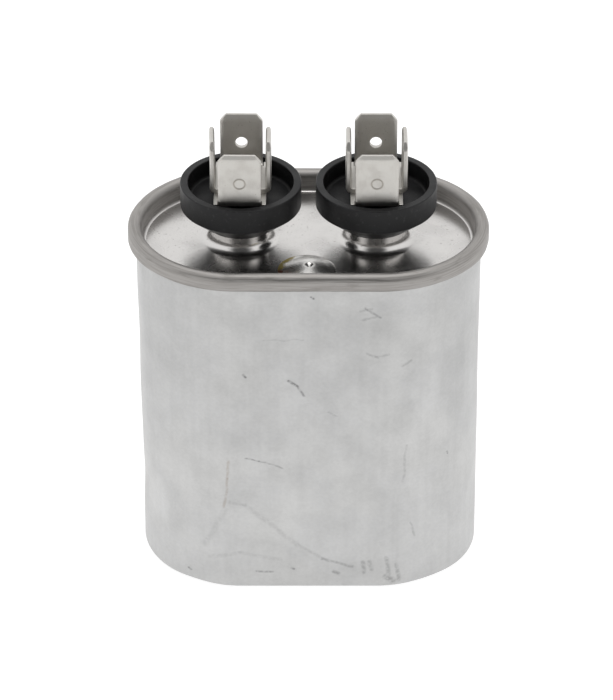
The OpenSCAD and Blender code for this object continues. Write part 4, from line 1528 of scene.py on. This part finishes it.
    def extra_points(self) -> Array:
        """Points inside the blank that the bends, bevels and rings need."""
        half, bevel = self.half, self.half - self.edge_bevel
        past = (half, half + 0.4 * MM, bevel + 0.22 * MM)
        columns = np.concatenate([np.linspace(-bevel, bevel, 9), *((-w, w) for w in past)])
        blade_s, bevel_s = self.flat + self.arc, self.length - self.tip_bevel
        rows = np.concatenate([np.linspace(0, self.flat, 6), np.linspace(self.flat, blade_s, 13),
                               np.linspace(blade_s, bevel_s, 12),
                               self.length - self.tip_bevel * np.array([0.75, 0.5, 0.25])])
        lattice = grid(np.unique(np.concatenate([-rows, rows])), columns)
        rings = []
        for end, blade in zip((-1, 1), self.blades):
            detent = np.array([end * self.detent_s, 0])
            apart = np.linalg.norm(lattice - detent, axis=1)
            lattice = lattice[apart > self.detent_r + self.detent_clear]
            if blade.detent is Detent.RING:
                angle = np.linspace(0, 2 * math.pi, 36, endpoint=False)
                circle = np.stack([np.cos(angle), np.sin(angle)], axis=1)
                inwards = np.array([-0.6, -0.25, 0.0, 0.25, 0.5, 0.75, 1.1, 1.75])
                radii = self.detent_r - self.ring_width * inwards
                rings += [detent + r * circle for r in radii] + [detent[None]]
        return np.concatenate([lattice, *rings])

    def build(self) -> None:
        """Folds the blank into the finished strip.

        Formula: both faces are P = middle(s, w) +- thickness(s, w) normal over one paving of
        the blank, and round each boundary a quarter of a small circle joins either face to
        the cut edge.
        """
        rims = [self.outline(), Rounded.hole(0, 0, self.rivet_hole_r, 48)]
        for end, blade in zip((-1, 1), self.blades):
            if blade.detent is Detent.HOLE:
                rims.append(Rounded.hole(end * self.detent_s, 0, self.detent_r))
        inset = [rim.inset(self.edge_r) for rim in rims]
        flat, corners = pave(inset[0], inset[1:], self.extra_points(), self.paving_gap)
        surface = Surface()
        place, along, across, normal = self.frames(flat)
        for face in (1, -1):
            front = face == -1
            slope_s, slope_w = (self._slope(flat, front, way) for way in np.eye(2))
            points = place + face * self.half_sheet(flat, front)[:, None] * normal
            self.add(surface, points, corners, unit(face * normal - slope_s * along - slope_w * across))
        for rim in rims:
            self._edge(surface, rim)
        piece = surface.build(self.name)
        self._mark(piece)
        dress(piece, self.finish, self.slot, self.node)

    def _slope(self, points: Array, front: bool, way: Array) -> Array:
        """How fast the half thickness grows along one direction of the blank."""
        rise = self.half_sheet(points + self.STEP * way, front)
        rise -= self.half_sheet(points - self.STEP * way, front)
        return rise[:, None] / (2 * self.STEP)

    def _mark(self, piece: Piece) -> None:
        """Writes the attribute "stamp": 1 in a stamped ring on a blade's outer face, where the ring's
        groove gets painted shade.

        Formula: back in the strip's own axes, the distance from the ring's centre in the
        plane of the blade goes through the same bell as the groove.
        """
        x, y, z = ((vertices(piece) - self.centre) @ self.spin.T).T
        s = z - self.mid_z - self.bend + self.flat + self.arc
        outer = self.flat + self.bend + 0.2 * self.sheet
        total = np.zeros(len(s))
        for end, blade in zip((-1, 1), self.blades):
            if blade.detent is Detent.RING:
                total += self.stamp(np.stack([end * s, x], axis=1), end) * (end * y > outer)
        store(piece, "stamp", total)

    def _edge(self, surface: Surface, rim: Rounded) -> None:
        """Adds the rounded cut edge along one boundary of the blank.

        Formula: at angle a from the middle of the edge, the point is moved into the metal by
        r (1 - cos a) and stands at thickness - r + r sin a.
        """
        steps = np.radians(np.linspace(0, 90, 4))
        at_edge = rim.inset(self.edge_r)
        place, along, across, normal = self.frames(at_edge)
        outward = rim.out[:, :1] * along + rim.out[:, 1:] * across
        rows, shades = [], []
        for angle, face in [(-a, -1) for a in steps[::-1]] + [(a, 1) for a in steps]:
            thick = self.half_sheet(at_edge, face == -1)
            height = face * (thick - self.edge_r) + self.edge_r * math.sin(angle)
            reach = self.edge_r * math.cos(angle)
            rows.append(place + reach * outward + height[:, None] * normal)
            shades.append(math.cos(angle) * outward + math.sin(angle) * normal)
        count, depth = len(at_edge), len(rows)
        number = np.arange(count * depth).reshape(count, depth)
        after = np.roll(number, -1, axis=0)
        corners = np.stack([number[:, :-1], after[:, :-1], after[:, 1:], number[:, 1:]], axis=-1)
        self.add(surface, np.stack(rows, axis=1).reshape(-1, 3), corners.reshape(-1, 4),
                 np.stack(shades, axis=1).reshape(-1, 3))


@dataclass
class Terminal:
    """One four-way terminal: cup, rivet, lower strip with ears and upper strip across it."""

    side: Side
    cup_finish: Material
    tab_finish: Material
    rivet_finish: Material
    lower_yaw: float = 0.0
    lower_blades: tuple[Blade, Blade] = (Blade(Detent.RING), Blade(Detent.HOLE))
    upper_blades: tuple[Blade, Blade] = (Blade(Detent.HOLE), Blade(Detent.RING))
    lower_bend_r: float = 1.5 * MM
    upper_bend_r: float = 0.95 * MM

    def build(self) -> None:
        """Builds and dresses the terminal's pieces, from the cup upwards."""
        word = self.side.word
        InsulatingCup(self.side, self.cup_finish).build()
        FoldedStrip(name=f"{word}_front_rear_strip", node=f"{word}_front_rear_tabs", slot="tab_metal",
                    finish=self.tab_finish, heading=0.0, blades=self.lower_blades,
                    bend_r=self.lower_bend_r, ears=True, yaw=self.lower_yaw).build()
        FoldedStrip(name=f"{word}_side_strip", node=f"{word}_side_tabs", slot="tab_metal",
                    finish=self.tab_finish, heading=-math.pi / 2, blades=self.upper_blades,
                    bend_r=self.upper_bend_r, ears=False).build()
        TerminalRivet(self.side, self.rivet_finish).build()


@dataclass(frozen=True)
class SealedInside:
    """The pieces that the closed can hides: they keep their solids and get their finishes."""

    finishes: tuple[PlainStuff | PlatedMetal, ...] = (
        PlainStuff("seal_rubber", (0.035, 0.032, 0.03), (0.02, 0.019, 0.019), 0.6, 0.5 * MM),
        PlainStuff("washer_board", (0.30, 0.15, 0.07), (0.20, 0.09, 0.04), 0.5, 0.4 * MM, (5, 1, 1)),
        PlatedMetal("lead_metal", (0.62, 0.58, 0.5), (0.5, 0.46, 0.4), roughness=0.35),
        PlainStuff("interrupter_plastic", (0.72, 0.69, 0.58), (0.62, 0.58, 0.47), 0.45),
        PlainStuff("winding_film", (0.62, 0.64, 0.68), (0.46, 0.48, 0.53), 0.25, 0.2 * MM, (40, 40, 1),
                   metallic=1, depth=0.02 * MM),
        PlainStuff("end_metal", (0.45, 0.45, 0.46), (0.28, 0.28, 0.29), 0.6, 0.3 * MM,
                   metallic=1, depth=0.05 * MM),
        PlainStuff("liner_wrap", (0.70, 0.66, 0.55), (0.60, 0.55, 0.44), 0.5, 0.6 * MM, (1, 1, 6)),
        PlainStuff("pad_board", (0.52, 0.42, 0.27), (0.42, 0.32, 0.19), 0.7, 0.5 * MM, (6, 6, 1)))

    def build(self, record: dict, nodes: dict[str, Piece]) -> None:
        """Dresses every node that no new piece replaces.

        Args:
            record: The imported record, which says each node's slot.
            nodes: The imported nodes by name.
        """
        made = {finish.name: finish.material() for finish in self.finishes}
        for entry in record["subparts"]:
            slot, node = entry["material_slot"], nodes[entry["node"]]
            if not node.hide_render and slot in made:
                node.data.materials.clear()
                node.data.materials.append(made[slot])
                LOG.info("%s: finish %s", entry["node"], slot)


# ---------------------------------------------------------------- studio


@dataclass
class Studio:
    """Pale floor, even white light with a darker side behind the camera, and the camera.

    The darker side is centred dark_tilt radians above the horizon. The light falls off
    where the cosine of the angle from that centre goes from one of dark_edges to the other.
    """

    low: Vector
    high: Vector
    elevation: float = math.radians(32.5)
    distance: float = 0.635
    aim_shift: Vector = field(default_factory=lambda: Vector((-0.295 * MM, 0, -2.02 * MM)))
    lens: float = 214.9
    floor_size: float = 8.0
    floor_glow: float = 0.8
    dark_tilt: float = 0.62
    dark_edges: Pair = (0.72, 0.93)
    dark_strength: float = 0.08
    lamp_size: float = 0.5
    lamp_energy: float = 1.5
    lamp_place: Triple = (0, 0.1, 0.9)

    def floor(self) -> None:
        """A plain pale floor under the object."""
        half = self.floor_size / 2
        mesh = bpy.data.meshes.new("studio_floor")
        z = self.low.z
        corners = [(-half, -half, z), (half, -half, z), (half, half, z), (-half, half, z)]
        mesh.from_pydata(corners, [], [(0, 1, 2, 3)])
        floor = bpy.data.objects.new("studio_floor", mesh)
        bpy.context.scene.collection.objects.link(floor)
        paint = Paint("studio_floor", 0, 0.9, 0.0)
        clouds = paint.span(paint.noise(0.4, detail=2), 0.3, 0.7)
        paint.link(paint.mix(clouds, (0.4, 0.4, 0.4), (0.42, 0.42, 0.42)), "Base Color")
        paint.shader.inputs["Emission Color"].default_value = (1, 1, 1, 1)
        paint.shader.inputs["Emission Strength"].default_value = self.floor_glow
        mesh.materials.append(paint.material)
        floor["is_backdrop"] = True

    def light(self) -> None:
        """White light from all round, dimmer from the camera's side, and a large soft lamp."""
        world = bpy.data.worlds.new("studio_light")
        bpy.context.scene.world = world
        world.use_nodes = True
        sky = Wiring(world.node_tree, "Generated")
        towards = sky.dot(sky.place, (0, -math.cos(self.dark_tilt), math.sin(self.dark_tilt)))
        strength = sky.span(towards, *self.dark_edges, 1, self.dark_strength)
        background = sky.tree.nodes["Background"]
        background.inputs["Color"].default_value = (1, 1, 1, 1)
        sky.tree.links.new(strength, background.inputs["Strength"])
        lamp = bpy.data.lights.new("soft_lamp", "AREA")
        lamp.shape = "DISK"
        lamp.size = self.lamp_size
        lamp.energy = self.lamp_energy
        top = bpy.data.objects.new("soft_lamp", lamp)
        top.location = self.lamp_place
        bpy.context.scene.collection.objects.link(top)

    def camera(self) -> None:
        """A long lens that looks along +Y and down on the lid."""
        data = bpy.data.cameras.new("camera")
        data.lens = self.lens
        data.sensor_width = 36
        data.clip_end = 50
        data.dof.use_dof = False
        camera = bpy.data.objects.new("camera", data)
        aim = (self.low + self.high) / 2 + self.aim_shift
        back = Vector((0, -math.cos(self.elevation), math.sin(self.elevation)))
        camera.location = aim + self.distance * back
        camera.rotation_euler = (math.pi / 2 - self.elevation, 0, 0)
        bpy.context.scene.collection.objects.link(camera)
        bpy.context.scene.camera = camera

    def build(self) -> None:
        """Sets up floor, light, camera and plain colour handling."""
        self.floor()
        self.light()
        self.camera()
        bpy.context.scene.view_settings.view_transform = "Standard"


def main() -> None:
    """Builds the capacitor's pieces in order, from the can upwards, and the studio."""
    logging.basicConfig(level=logging.INFO, format="%(name)s: %(message)s")
    cad_low, cad_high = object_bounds()
    Studio(Vector(cad_low), Vector(cad_high)).build()
    rim = Rim.from_frame()
    CanBody(rim).build()
    SeamedLid(rim).build()
    SolderDome(rim).build()
    cup = CupPlastic().material()
    tab = PlatedMetal("tab_metal", (0.565, 0.55, 0.52), (0.54, 0.522, 0.492), roughness=0.42).material()
    rivet = PlatedMetal("rivet_metal", (0.55, 0.54, 0.52), (0.42, 0.41, 0.39), roughness=0.3).material()
    Terminal(Side.LEFT, cup, tab, rivet, lower_yaw=math.radians(-0.65),
             upper_blades=(Blade(Detent.HOLE, lean=math.radians(0.4), twist=math.radians(2)),
                           Blade(Detent.RING))).build()
    Terminal(Side.RIGHT, cup, tab, rivet).build()
    SealedInside().build(frame["record"], frame["nodes"])


if __name__ == "__main__":
    main()
